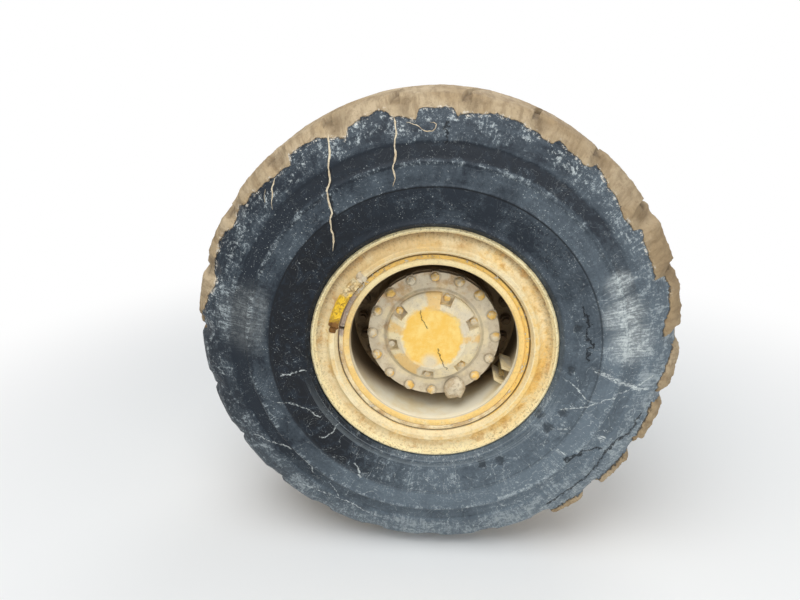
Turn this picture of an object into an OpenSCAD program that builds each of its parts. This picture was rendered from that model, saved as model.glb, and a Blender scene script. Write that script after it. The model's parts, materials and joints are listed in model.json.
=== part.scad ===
// Wheel end of an articulated dump truck: wide radial tyre on a five-piece rim,
// planetary hub, spindle, enclosed disc brake and the flange that bolts to the axle housing.
// Millimetres. Origin: centre of the flange face. +Y points inboard to the axle, +Z is up.
// Depths are measured inboard from the plane of the rim's outboard lip.
// Clock angles run clockwise from the top, as seen from outboard.

/* [Tyre] */
// Radius of the worn tread at its centre
tread_r = 790; // [780:1:810]
// Radius at the edge of the tread
tread_edge_r = 770; // [764:1:776]
// Half the width of the tread
tread_half = 290; // [270:1:300]
// How far the foot of the shoulder lies below the tread's edge
shoulder_drop = 32; // [20:1:45]
// Half width at the foot of the shoulder
shoulder_half = 326; // [315:1:335]
// Width of the tyre at its widest
tyre_w = 750; // [735:1:765]
// Radius at which the tyre is widest
bulge_r = 545; // [520:1:570]
// Radius of the rib that protects the rim
protector_r = 410; // [408:1:416]
// How far the protector rib stands out of the sidewall
protector_out = 5; // [2:1:8]
// Radius of the raised line round the sidewall
line_r = 520; // [505:1:535]
// How far that line and the ridge stand out
line_out = 4; // [2:1:6]
// Radius of the ridge under the tread rubber
ridge_r = 588; // [580:1:600]
// Width of the sunk band outside the ridge
sunk_w = 50; // [40:1:60]
// How deep that band is sunk
sunk = 4; // [2:1:6]
// Thickness of the sidewall
sidewall = 34; // [26:1:40]
// Thickness of tread and belts at the centre
crown_wall = 62; // [50:1:70]
// Width of a bead on its seat
bead_w = 78; // [70:1:84]

/* [Lugs] */
// Number of lugs round the tread
lug_count = 23; // [20:1:26]
// Clock angle of the first groove at the outboard shoulder
lug_start = 6; // [0:0.5:15]
// Depth of a groove that is left in the worn tread
groove_depth = 27; // [20:1:32]
// Width of a groove across the middle of the tread
groove_w = 22; // [16:1:28]
// Width of a groove where it opens at the shoulder
groove_mouth = 40; // [30:1:50]
// Distance round the tread between the two ends of a groove
groove_sweep = 190; // [150:1:220]
// Radius of the hollow in the shoulder at a groove's mouth
hollow_r = 60; // [50:1:70]
// Depth of that hollow
hollow_depth = 20; // [14:1:24]
// Distance of the hollow's middle from the groove's, round the tread
hollow_shift = 22; // [10:1:30]

/* [Rim] */
// Radius of the bead seats at the flanges
seat_r = 317.5; // [316:0.5:319]
// Rim width from lip to lip
rim_w = 690; // [680:1:700]
// Radius of the flange lips
lip_r = 393.7; // [390:0.1:397]
// Thickness of a flange from its lip plane to its bead face
flange_t = 45; // [42:1:48]
// Radius of the flange's curl on the tyre side
curl_r = 42; // [40:1:44]
// Radius of the hollow in the flange's outer face
dish_r = 26; // [24:1:28]
// Bevel on the outer edge of the flange lips
lip_bevel = 6; // [4:1:8]
// Outer radius of the rim base
base_r = 302; // [300:1:304]
// Wall of the rim base
base_wall = 14; // [13:1:17]
// Rise of the bead seats towards the flanges
seat_rise = 6; // [4:1:8]
// Outer radius of the nose that holds a flange
nose_r = 335; // [330:1:338]
// Thickness of that nose
nose_t = 11; // [9:1:13]
// Length of the loose bead seat band
band_len = 132; // [124:1:140]
// Clearance between the rim's loose rings
ring_gap = 0.3; // [0.2:0.1:0.5]

/* [Gutter and lock ring] */
// Depth of the gutter's front
gutter_d = 22; // [18:1:26]
// Inner radius of the gutter
gutter_in_r = 269; // [265:1:271]
// Radius of the gutter's lip
gutter_lip_r = 291; // [290:1:293]
// Thickness of the gutter's lip
gutter_lip_t = 10; // [8:1:12]
// Radius of the groove that takes the lock ring
gutter_groove_r = 285; // [283:1:287]
// Width of that groove
gutter_groove_w = 26; // [22:1:30]
// Outer radius of the lock ring
lock_r = 308; // [306:1:310]
// Width of the split in the lock ring, in degrees
lock_split = 2; // [1:0.5:4]
// Clock angle of the split
lock_clock = 281; // [270:1:290]
// Clock angle of the driver key
key_clock = 298; // [292:0.5:302]
// Length of the driver key, in degrees
key_deg = 31; // [24:1:34]
// Length of the slot in the nose that the key stands in, in degrees
slot_deg = 40; // [36:1:44]
// Outer radius of the driver key
key_r = 341; // [338:1:346]
// How far the driver key stands out of the lip plane
key_out = 4; // [2:0.5:6]

/* [Disc and wheel nuts] */
// Depth of the disc's outboard face
disc_d = 290; // [280:1:300]
// Thickness of the disc
disc_t = 24; // [20:1:28]
// Leg of the weld between disc and rim base
weld = 7; // [5:1:8]
// Number of wheel nuts
stud_count = 24; // [20:2:24]
// Radius of the circle of wheel studs
stud_circle = 255; // [253:1:256]
// Radius of a wheel stud
stud_r = 11; // [10:0.5:12]
// Width of a wheel nut across its flats
nut_af = 33; // [30:1:34]
// Height of a wheel nut
nut_h = 24; // [20:1:28]
// Height of a wheel nut's collar
nut_collar = 5; // [4:1:7]
// Height of a stud's head behind the hub's flange
stud_head_h = 9; // [7:1:11]
// Stud end that shows past its nut
stud_out = 14; // [8:1:20]
// Clearance round a stud in its hole
stud_gap = 0.5; // [0.3:0.1:1]

/* [Hub] */
// Radius of the hub's drum
drum_r = 213; // [208:1:215]
// Radius of the hub's wheel flange
hub_flange_r = 278; // [276:1:279]
// Thickness of the hub's wheel flange
hub_flange_t = 28; // [24:1:32]
// Height of the pilot step that centres the disc
pilot_h = 6; // [4:1:10]
// Radius of the hub's barrel inboard of the wheel flange
barrel_r = 200; // [190:1:205]
// Length of that barrel
barrel_len = 90; // [80:1:96]
// Wall round the hub's gear space
drum_wall = 30; // [24:1:36]
// Running clearance on the spindle
running_gap = 0.05; // [0.02:0.01:0.1]

/* [Carrier and cover] */
// Depth of the carrier flange's face
carrier_d = 119; // [117:1:123]
// Radius of the carrier flange
carrier_r = 222; // [220:0.5:224]
// Thickness of the carrier flange
carrier_t = 22; // [18:1:26]
// Number of places on the carrier's bolt circle
carrier_places = 16; // [12:2:18]
// Radius of the carrier's bolt circle
carrier_circle = 205; // [203:1:207]
// Clock angle of the first carrier bolt
carrier_start = 0.7; // [0:0.1:10]
// Radius of the flange's bolt bosses
boss_r = 19; // [17:1:21]
// How far the bosses stand out of the flange's edge
boss_out = 3; // [2:0.5:4]
// Radius of a carrier bolt
carrier_bolt_r = 8; // [7:0.5:9]
// Length of a carrier bolt in the hub
carrier_bolt_in = 30; // [24:1:34]
// Width of a carrier bolt's head across its flats
carrier_bolt_af = 24; // [22:1:26]
// Height of a carrier bolt's head
carrier_bolt_h = 10; // [8:1:13]
// Clock place of the oil plug, counted from the first bolt
plug_place = 7; // [7:1:8]
// Radius of the oil plug's head
plug_r = 28; // [25:1:30]
// Height of the oil plug's head
plug_h = 20; // [16:1:24]
// Radius of the hub cover
cover_r = 154; // [150:1:158]
// Depth of the cover's rim
cover_rim_d = 100; // [96:1:104]
// Depth of the cover's flat centre
cover_top_d = 80; // [76:1:84]
// Radius of the flat centre
cover_top_r = 108; // [102:1:112]
// Thickness of the cover under the heads of its bolts
cover_foot = 4; // [3:0.5:6]
// How far the carrier's register goes into the drum
register_in = 20; // [16:1:24]
// Radius of the pockets' inner wall
pocket_in_r = 121; // [118:1:124]
// Half angle of a pocket
pocket_half = 8.5; // [8:0.5:10]
// Radius of the cover's bolt circle
cover_circle = 142; // [140:1:144]
// Clock angle of the first pair of cover bolts
pair_clock = 42.5; // [35:0.5:50]
// Half angle between the two bolts of a pair
pair_half = 25; // [22:0.5:27]
// Width of a cover bolt's head across its flats
cover_bolt_af = 19; // [16:1:20]
// Height of a cover bolt's head
cover_bolt_h = 9; // [7:1:11]
// Radius of a cover bolt
cover_bolt_r = 6; // [5:0.5:7]
// Length of a cover bolt under its head
cover_bolt_len = 24; // [20:1:28]

/* [Valve] */
// Clock angle of the tyre valve
valve_clock = 118.5; // [112:0.5:125]
// Depth of the valve's hole in the rim base
valve_d = 178; // [170:1:190]
// Radius of the valve's stem
valve_r = 6; // [5:0.5:7]
// Radius of the valve's spud
spud_r = 12; // [10:1:14]
// Depth of the front of the guard plates
guard_d = 82; // [78:1:90]
// Length of the guard plates
guard_len = 112; // [106:1:120]
// Height of the guard plates
guard_h = 38; // [34:1:42]
// How far the ends of a guard plate lean
guard_lean = 5; // [3:1:8]
// Thickness of a guard plate
guard_t = 9; // [7:1:11]
// Half angle between the guard plates
guard_half = 5.5; // [5:0.5:7]

/* [Axle end] */
// Distance from the axle flange face to the rim's outboard lip
lip_reach = 780; // [770:1:800]
// Radius of the spindle's journal
journal_r = 110; // [100:1:120]
// Radius of the spindle's collar that centres the axle
collar_r = 130; // [125:1:140]
// How far the collar stands out of the flange face
collar_out = 12; // [8:1:16]
// Radius of the axle flange
axle_flange_r = 215; // [210:1:225]
// Thickness of the axle flange
axle_flange_t = 42; // [36:1:50]
// Number of axle bolts
axle_bolt_count = 16; // [12:2:18]
// Diameter of the axle bolt circle
axle_pcd = 380; // [370:1:390]
// Radius of an axle bolt hole
axle_hole_r = 11; // [10:0.5:12]
// Radius of the brake housing
brake_r = 236; // [230:1:242]
// Radius of the flanges of the brake housing
brake_flange_r = 262; // [258:1:268]
// Thickness of the flanges of the brake housing
brake_flange_t = 22; // [18:1:26]
// Gap between hub and brake housing
seal_gap = 5; // [5:0.5:7]
// Number of bolts round the brake housing
brake_bolt_count = 18; // [12:2:20]
// Radius of the brake housing's bolt circle
brake_circle = 249; // [247:1:251]
// Radius of a brake housing bolt
brake_bolt_r = 7; // [6:0.5:8]
// Width of a brake housing bolt's head across its flats
brake_bolt_af = 21; // [18:1:22]
// Height of a brake housing bolt's head
brake_bolt_h = 10; // [8:1:12]
// Length of a brake housing bolt under its head
brake_bolt_len = 24; // [20:1:28]
// Number of ribs on the brake housing
rib_count = 18; // [12:2:20]
// Thickness of a rib
rib_t = 9; // [7:1:11]
// Radius of the half shaft
shaft_r = 36; // [32:1:40]
// Radius of the shaft's splined end
spline_r = 32; // [28:1:34]
// Radius of the cuts between the splines
spline_cut = 3; // [2:0.5:3.5]
// How far the half shaft stands out of the flange face
shaft_out = 78; // [70:1:90]

/* [Hidden] */
$fn = 96;

// Worked-out values
mid_d = rim_w / 2;
shoulder_r = tread_edge_r - shoulder_drop;
bead_face = mid_d - flange_t;
curl_c_r = lip_r - curl_r;
curl_c_d = flange_t - curl_r;
base_in_r = base_r - base_wall;
hub_flange_d = disc_d + disc_t;
hub_end_d = hub_flange_d + hub_flange_t + barrel_len;
journal_d = hub_flange_d - 30;
brake_start_d = hub_end_d + seal_gap;
axle_flange_d = lip_reach - axle_flange_t;
brake_end_d = axle_flange_d - 64;
port_d = axle_flange_d - 34;
port_seat_r = axle_flange_r + 12;
port_clocks = [40, 0];
collar_seat_r = collar_r + 2;
pocket_d = carrier_d - cover_foot;
register_r = drum_r - drum_wall - 1;
port_boss_r = 20;
splines = 24;
tyre_steps = 2 * lug_count;
rubber = "#2e343b";
yellow = "#d9a53f";
mud = "#b39a72";
steel = "#8b8378";

// Puts what is drawn round Z, with its height as a depth, on the wheel's axis
module at_depth(d = 0) translate([0, d - lip_reach, 0]) rotate([-90, 0, 0]) children();

// Turns a profile of radius and depth round the wheel's axis
module turned() at_depth() rotate_extrude() children();

// Puts what is drawn at the origin at a clock angle and a radius, looking along the axis
module at_clock(clock, r) rotate([0, 0, clock - 90]) translate([r, 0, 0]) children();

// The same profile for the inboard side of the wheel
module inboard_profile() translate([0, rim_w]) mirror([0, 1]) children();

// A rectangle from one radius and depth to another
module band(r0, r1, d0, d1) translate([r0, d0]) square([r1 - r0, d1 - d0]);

// A hexagon of a given width across its flats, as a head or nut
module hexagon(af, h) cylinder(r = af / sqrt(3), h = h, $fn = 6);

// Half width of the tyre's sidewall at a radius, a parabola through the shoulder's foot
bulge_k = (tyre_w / 2 - shoulder_half) / pow(shoulder_r - bulge_r, 2);
function side_half(r) = tyre_w / 2 - bulge_k * pow(r - bulge_r, 2);

// Outer half of the tyre's section, from the bead's heel to the centre of the tread.
// Two flats stand for the curve that lies on the flange, just outside it.
flat_r = (curl_r + ring_gap) / cos(22.5);
mid_shoulder_r = (ridge_r + sunk_w + shoulder_r) / 2 + 2;
function tyre_side() = [
    [seat_r + ring_gap, bead_face - ring_gap],
    [curl_c_r + flat_r * sin(22.5), mid_d - curl_c_d - flat_r * cos(22.5)],
    [curl_c_r + flat_r * cos(22.5), mid_d - curl_c_d - flat_r * sin(22.5)],
    [lip_r + 3, mid_d - curl_c_d - 6],
    [lip_r + 6, mid_d + 3],
    [protector_r - 4, side_half(protector_r) + protector_out],
    [protector_r + 4, side_half(protector_r) + protector_out],
    [protector_r + 14, side_half(protector_r + 14)],
    [470, side_half(470)],
    [line_r - 4, side_half(line_r - 4)],
    [line_r, side_half(line_r) + line_out],
    [line_r + 5, side_half(line_r + 5)],
    [ridge_r - 6, side_half(ridge_r - 6)],
    [ridge_r, side_half(ridge_r) + line_out],
    [ridge_r + 8, side_half(ridge_r + 8) - sunk],
    [ridge_r + sunk_w, side_half(ridge_r + sunk_w) - sunk],
    [ridge_r + sunk_w + 8, side_half(ridge_r + sunk_w + 8)],
    [mid_shoulder_r, side_half(mid_shoulder_r)],
    [shoulder_r, shoulder_half],
    [tread_edge_r, tread_half],
    [(tread_r + tread_edge_r) / 2 + 4, tread_half * 0.6],
    [tread_r, tread_half * 0.25]
];

// Inner half of the tyre's section, from the centre of the tread to the bead's toe
function tyre_liner() = [
    [tread_r - crown_wall, tread_half * 0.6],
    [shoulder_r - crown_wall * 0.6, tread_half],
    [bulge_r, tyre_w / 2 - sidewall],
    [390, bead_face - 20],
    [seat_r - seat_rise + ring_gap, bead_face - bead_w]
];

function mirrored(points) = [for (i = [len(points) - 1 : -1 : 0]) [points[i][0], -points[i][1]]];

// Section of the tyre: radius across, distance from its middle plane upwards
module tyre_section()
    polygon(concat(tyre_side(), mirrored(tyre_side()), mirrored(tyre_liner()), tyre_liner()));

// Path of a groove: share of the tread's half width, share of the sweep, end of the groove.
// At each end one edge flares out to the mouth.
groove_path = [[-1.26, -0.53, -1], [-1, -0.52, -1], [-0.8, -0.5, 0], [-0.4, -0.38, 0], [-0.14, -0.15, 0],
               [0.14, 0.15, 0], [0.4, 0.38, 0], [0.8, 0.5, 0], [1, 0.52, 1], [1.26, 0.53, 1]];
function groove_edge(side) = [for (p = groove_path)
    [p[0] * tread_half, p[1] * groove_sweep + side * (p[2] * side < 0 ? groove_mouth : groove_w) / 2]];
function backwards(points) = [for (i = [len(points) - 1 : -1 : 0]) points[i]];

// Floor of a groove along the tyre's width: distance from the middle plane, radius
groove_floor = [
    [-1.26 * tread_half, shoulder_r - 16],
    [-tread_half, tread_edge_r - groove_depth],
    [-0.6 * tread_half, tread_r - groove_depth - 2],
    [0.6 * tread_half, tread_r - groove_depth - 2],
    [tread_half, tread_edge_r - groove_depth],
    [1.26 * tread_half, shoulder_r - 16]
];

// What one groove takes out of the tread, at the top of a local X axis
module groove() {
    intersection() {
        translate([tread_r + 30, 0, 0]) rotate([0, -90, 0])
            linear_extrude(height = tread_r - shoulder_r + 68)
                polygon(concat(groove_edge(-1), backwards(groove_edge(1))));
        translate([0, 200, 0]) rotate([90, 0, 0]) linear_extrude(height = 400)
            polygon(concat([for (p = groove_floor) [p[1], p[0]]],
                [[tread_r + 40, 1.26 * tread_half], [tread_r + 40, -1.26 * tread_half]]));
    }
}

// Hollow in the shoulder at a groove's outboard mouth: a cylinder along the shoulder's slope
shoulder_slope = atan2(tread_edge_r - shoulder_r, shoulder_half - tread_half);
module hollow() {
    out = hollow_r - hollow_depth;
    translate([
        (tread_edge_r + shoulder_r) / 2 + out * cos(shoulder_slope),
        hollow_shift - groove_turn_mm,
        -(tread_half + shoulder_half) / 2 - out * sin(shoulder_slope)
    ]) rotate([0, shoulder_slope, 0]) cylinder(r = hollow_r, h = 200, center = true, $fn = 24);
}

// Turn from the middle of a groove to its outboard mouth
groove_turn_mm = 0.52 * groove_sweep;
groove_turn = asin(groove_turn_mm / tread_edge_r);

module tyre() color(rubber) at_depth(mid_d) difference() {
    rotate_extrude($fn = tyre_steps) tyre_section();
    for (i = [0 : lug_count - 1]) rotate([0, 0, lug_start + groove_turn - 90 + i * 360 / lug_count]) {
        groove();
        hollow();
        rotate([180, 0, 0]) hollow();
    }
}

// Section of a loose flange, with its outer face at depth 0
module flange_profile() {
    difference() {
        union() {
            band(seat_r + ring_gap, curl_c_r, nose_t + ring_gap, flange_t);
            band(nose_r + ring_gap, lip_r, 0, curl_c_d);
            band(nose_r + ring_gap, curl_c_r, 0, flange_t);
            intersection() {
                translate([curl_c_r, curl_c_d]) circle(r = curl_r);
                band(curl_c_r, lip_r + 1, 0, flange_t + 1);
            }
        }
        translate([(nose_r + lip_r) / 2 - 6, -4]) circle(r = dish_r);
        polygon([[lip_r - lip_bevel, -0.5], [lip_r + 1, -0.5], [lip_r + 1, lip_bevel + 0.5]]);
    }
}

module outer_flange() color(yellow) turned() flange_profile();
module inner_flange() color(yellow) turned() inboard_profile() flange_profile();

// Section of the rim base, from the gutter at the outboard end to the fixed nose inboard
module base_profile() {
    groove_end = gutter_d + gutter_lip_t + gutter_groove_w;
    polygon([
        [gutter_in_r, gutter_d + 9],
        [gutter_in_r + 3, gutter_d + 3],
        [gutter_in_r + 9, gutter_d],
        [gutter_lip_r - 3, gutter_d],
        [gutter_lip_r, gutter_d + 3],
        [gutter_lip_r, gutter_d + gutter_lip_t],
        [gutter_groove_r, gutter_d + gutter_lip_t],
        [gutter_groove_r, groove_end],
        [base_r, groove_end + 6],
        [base_r, rim_w - flange_t - bead_w - 22],
        [seat_r - seat_rise, rim_w - flange_t - bead_w],
        [seat_r, rim_w - flange_t],
        [seat_r, rim_w - nose_t],
        [nose_r, rim_w - nose_t],
        [nose_r, rim_w - 4],
        [nose_r - 4, rim_w],
        [seat_r - 6, rim_w],
        [base_in_r + 3, rim_w - 28],
        [base_in_r, rim_w - 60],
        [base_in_r, gutter_d + 62],
        [gutter_in_r, gutter_d + 30]
    ]);
}

// Radial hole for the valve through the rim base
module valve_hole() translate([0, 0, valve_d]) at_clock(valve_clock, base_in_r - 20)
    rotate([0, 90, 0]) cylinder(r = spud_r + stud_gap, h = 60);

module rim_base() color(yellow) at_depth() difference() {
    rotate_extrude() base_profile();
    valve_hole();
}

// Section of the bead seat band: a nose that holds the flange and a bevel that meets the lock ring
module band_profile() {
    polygon([
        [lock_r + 9, 2],
        [nose_r - 4, 0],
        [nose_r, 4],
        [nose_r, nose_t],
        [seat_r, nose_t],
        [seat_r, flange_t],
        [seat_r - seat_rise, flange_t + bead_w],
        [base_r + 2, band_len],
        [base_r + ring_gap, band_len],
        [base_r + ring_gap, gutter_d + gutter_lip_t + gutter_groove_w],
        [lock_r + ring_gap, gutter_d + gutter_lip_t + 12],
        [lock_r + ring_gap, gutter_d - 2]
    ]);
}

// Sector of a ring between two radii and two depths
module sector(clock, deg, r0, r1, d0, d1) translate([0, 0, d0]) rotate([0, 0, clock - deg / 2 - 90])
    rotate_extrude(angle = deg) translate([r0, 0]) square([r1 - r0, d1 - d0]);

// Slot in the band's nose that takes the driver key
module key_slot() sector(key_clock, slot_deg, lock_r - 2, nose_r + 4, -1, nose_t);

module bead_seat_band() color(yellow) at_depth() difference() {
    rotate_extrude() band_profile();
    key_slot();
}

// Block welded in that slot; it stands out of the nose and turns the loose rings together
module driver_key() color("#e8b429") at_depth() rotate([0, 0, key_clock - key_deg / 2 - 90])
    rotate_extrude(angle = key_deg) polygon([
        [lock_r + ring_gap, -key_out],
        [key_r - 5, -key_out],
        [key_r, 2],
        [nose_r, nose_t - 5],
        [nose_r, nose_t],
        [lock_r + ring_gap, nose_t]
    ]);

// Section of the lock ring: a hooked bar in the gutter's groove
module lock_profile() {
    lock_d = gutter_d + gutter_lip_t;
    polygon([
        [gutter_lip_r + ring_gap, gutter_d + 3],
        [gutter_lip_r + 4, gutter_d],
        [lock_r - 4, gutter_d],
        [lock_r, gutter_d + 4],
        [lock_r, lock_d + 12],
        [base_r, lock_d + gutter_groove_w - 6],
        [gutter_groove_r + ring_gap, lock_d + gutter_groove_w - ring_gap - 1],
        [gutter_groove_r + ring_gap, lock_d + ring_gap],
        [gutter_lip_r + ring_gap, lock_d + ring_gap]
    ]);
}

module lock_ring() color(mud) at_depth() rotate([0, 0, lock_clock + lock_split / 2 - 90])
    rotate_extrude(angle = 360 - lock_split) lock_profile();

// Disc between rim base and hub, with its welds
module wheel_disc() color(mud) at_depth() difference() {
    rotate_extrude() polygon([
        [drum_r + 6 + ring_gap, disc_d],
        [base_in_r - weld, disc_d],
        [base_in_r, disc_d - weld],
        [base_in_r, disc_d + disc_t + weld],
        [base_in_r - weld, disc_d + disc_t],
        [drum_r + 6 + ring_gap, disc_d + disc_t]
    ]);
    for (i = [0 : stud_count - 1]) at_clock(i * 360 / stud_count, stud_circle)
        translate([0, 0, disc_d - 1]) cylinder(r = stud_r + stud_gap, h = disc_t + 2);
}

module wheel_studs() color(steel) at_depth() for (i = [0 : stud_count - 1])
    at_clock(i * 360 / stud_count, stud_circle) {
        translate([0, 0, disc_d - nut_h - stud_out])
            cylinder(r = stud_r, h = nut_h + stud_out + disc_t + hub_flange_t + 1);
        translate([0, 0, hub_flange_d + hub_flange_t]) cylinder(r = stud_r + 5, h = stud_head_h);
    }

module wheel_nuts() color(steel) at_depth(disc_d - nut_h) for (i = [0 : stud_count - 1])
    at_clock(i * 360 / stud_count, stud_circle) difference() {
        union() {
            hexagon(nut_af, nut_h);
            translate([0, 0, nut_h - nut_collar]) cylinder(r = nut_af / 2 + 2, h = nut_collar);
        }
        translate([0, 0, -1]) cylinder(r = stud_r + running_gap, h = nut_h + 2);
    }

// Hub: drum over the gears, wheel flange and a barrel that runs on the spindle
module hub() color(mud) at_depth() difference() {
    rotate_extrude() polygon([
        [drum_r - drum_wall, carrier_d + carrier_t],
        [carrier_r, carrier_d + carrier_t],
        [carrier_r, carrier_d + carrier_t + 20],
        [drum_r, carrier_d + carrier_t + 28],
        [drum_r, disc_d - 12],
        [drum_r + 6, disc_d - pilot_h],
        [drum_r + 6, hub_flange_d],
        [hub_flange_r, hub_flange_d],
        [hub_flange_r, hub_flange_d + hub_flange_t],
        [stud_circle - stud_r - 10, hub_flange_d + hub_flange_t],
        [barrel_r, hub_flange_d + hub_flange_t + 22],
        [barrel_r, hub_end_d],
        [journal_r + running_gap, hub_end_d],
        [journal_r + running_gap, hub_flange_d - 40],
        [drum_r - drum_wall, hub_flange_d - 90]
    ]);
    for (i = [0 : stud_count - 1]) at_clock(i * 360 / stud_count, stud_circle)
        translate([0, 0, hub_flange_d - 1]) cylinder(r = stud_r + running_gap, h = hub_flange_t + 2);
    carrier_holes(carrier_d + carrier_t - 1, carrier_bolt_in + 5);
}

// Places of the carrier's bolts, without the one that the oil plug takes
module at_carrier_bolts() for (i = [0 : carrier_places - 1])
    if (i != plug_place) at_clock(carrier_start + i * 360 / carrier_places, carrier_circle) children();

module carrier_holes(d, h) translate([0, 0, d]) at_carrier_bolts()
    cylinder(r = carrier_bolt_r + running_gap, h = h);

plug_clock = carrier_start + plug_place * 360 / carrier_places;

// Outline of the carrier flange: a disc with a boss at each place of the bolt circle
module carrier_outline() difference() {
    union() {
        circle(r = carrier_r - boss_out);
        intersection() {
            circle(r = carrier_r);
            for (i = [0 : carrier_places - 1])
                at_clock(carrier_start + i * 360 / carrier_places, carrier_circle) circle(r = boss_r);
        }
    }
    at_carrier_bolts() circle(r = carrier_bolt_r + running_gap);
    at_clock(plug_clock, carrier_circle) circle(r = plug_r / 2 + running_gap);
}

// Carrier: bolted flange, and the register that centres it in the drum
module planet_carrier() color(mud) at_depth(carrier_d) difference() {
    union() {
        linear_extrude(height = carrier_t) carrier_outline();
        translate([0, 0, carrier_t / 2]) cylinder(r = register_r, h = carrier_t / 2 + register_in);
    }
    translate([0, 0, -1]) at_cover_bolts()
        cylinder(r = cover_bolt_r + running_gap, h = cover_bolt_len);
}

module carrier_bolts() color(mud) at_depth() at_carrier_bolts() {
    translate([0, 0, carrier_d - carrier_bolt_h]) hexagon(carrier_bolt_af, carrier_bolt_h);
    translate([0, 0, carrier_d - 1]) cylinder(r = carrier_bolt_r, h = carrier_t + carrier_bolt_in + 1);
}

// Oil plug with a round head, a hexagon on it and a shank in the carrier flange
module oil_plug() color(mud) at_depth(carrier_d) at_clock(plug_clock, carrier_circle) {
    translate([0, 0, -plug_h * 0.6]) cylinder(r = plug_r, h = plug_h * 0.6);
    translate([0, 0, -plug_h]) hexagon(plug_r * 1.2, plug_h * 0.6);
    translate([0, 0, -1]) cylinder(r = plug_r / 2, h = carrier_t);
}

// Places of the cover's bolts: three pairs
module at_cover_bolts() for (pair = [0 : 2], side = [-1, 1])
    at_clock(pair_clock + pair * 120 + side * pair_half, cover_circle) children();

// Cover: flat centre, sloped shoulder and pockets for the bolts
module hub_cover() color(yellow) at_depth() difference() {
    rotate_extrude() polygon([
        [0, cover_top_d],
        [cover_top_r, cover_top_d],
        [cover_top_r + 5, cover_top_d + 3],
        [cover_r - 5, cover_rim_d],
        [cover_r, cover_rim_d + 5],
        [cover_r, carrier_d],
        [0, carrier_d]
    ]);
    for (pair = [0 : 2], side = [-1, 1])
        sector(pair_clock + pair * 120 + side * pair_half, 2 * pocket_half,
            pocket_in_r, cover_r + 2, cover_top_d - 1, pocket_d);
    translate([0, 0, pocket_d - 1]) at_cover_bolts()
        cylinder(r = cover_bolt_r + running_gap, h = cover_foot + 2);
}

module cover_bolts() color(mud) at_depth() at_cover_bolts() {
    translate([0, 0, pocket_d - cover_bolt_h]) hexagon(cover_bolt_af, cover_bolt_h);
    translate([0, 0, pocket_d - 1]) cylinder(r = cover_bolt_r, h = cover_bolt_len);
}

// Tyre valve: a spud through the rim base, an elbow and a stem that points outboard
valve_stem_r = base_in_r - 26;
valve_tip_d = guard_d + 26;
module valve_stem() color("#8a7a50") at_depth() rotate([0, 0, valve_clock - 90]) {
    translate([valve_stem_r + 12, 0, valve_d]) rotate([0, 90, 0]) cylinder(r = valve_r, h = 14);
    translate([base_in_r - 9, 0, valve_d]) rotate([0, 90, 0]) cylinder(r = spud_r + 5, h = 8, $fn = 6);
    translate([base_in_r - 2, 0, valve_d]) rotate([0, 90, 0]) cylinder(r = spud_r, h = base_wall + 5);
    translate([valve_stem_r + 12, 0, valve_d - 12]) rotate([-90, 0, 0]) rotate([0, 0, 180])
        rotate_extrude(angle = 90) translate([12, 0]) circle(r = valve_r, $fn = 32);
    translate([valve_stem_r, 0, valve_tip_d]) cylinder(r = valve_r, h = valve_d - 12 - valve_tip_d);
}

module valve_cap() color("#8a7a50") at_depth(valve_tip_d - 16) rotate([0, 0, valve_clock - 90])
    translate([valve_stem_r, 0, 0]) cylinder(r = valve_r + 2.5, h = 16);

// Two plates welded to the rim base on either side of the valve
module valve_guard() color(mud) at_depth() for (side = [-1, 1])
    rotate([0, 0, valve_clock + side * guard_half - 90]) translate([0, guard_t / 2, 0]) rotate([90, 0, 0])
        linear_extrude(height = guard_t) polygon([
            [base_in_r - 0.2, guard_d + guard_lean],
            [base_in_r - guard_h, guard_d],
            [base_in_r - guard_h, guard_d + guard_len - guard_lean],
            [base_in_r - 0.2, guard_d + guard_len]
        ]);

// Spindle: journal for the hub, collar in the axle flange, bore for the half shaft
module spindle() color(steel) at_depth() difference() {
    union() {
        translate([0, 0, journal_d]) cylinder(r = journal_r, h = axle_flange_d - journal_d + 10);
        translate([0, 0, axle_flange_d]) cylinder(r = collar_seat_r, h = axle_flange_t);
        translate([0, 0, lip_reach - 1]) cylinder(r = collar_r, h = collar_out + 1);
    }
    translate([0, 0, journal_d - 1]) cylinder(r = shaft_r + running_gap, h = lip_reach + collar_out + 2);
}

// Flange that bolts to the axle housing
module axle_flange() color(yellow) at_depth() difference() {
    translate([0, 0, axle_flange_d]) cylinder(r = axle_flange_r, h = axle_flange_t);
    translate([0, 0, axle_flange_d - 1]) cylinder(r = collar_seat_r + running_gap, h = axle_flange_t + 2);
    for (i = [0 : axle_bolt_count - 1]) at_clock((i + 0.5) * 360 / axle_bolt_count, axle_pcd / 2)
        translate([0, 0, axle_flange_d - 1]) cylinder(r = axle_hole_r, h = axle_flange_t + 2);
}

module at_brake_bolts() for (i = [0 : brake_bolt_count - 1])
    at_clock(i * 360 / brake_bolt_count, brake_circle) children();

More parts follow.
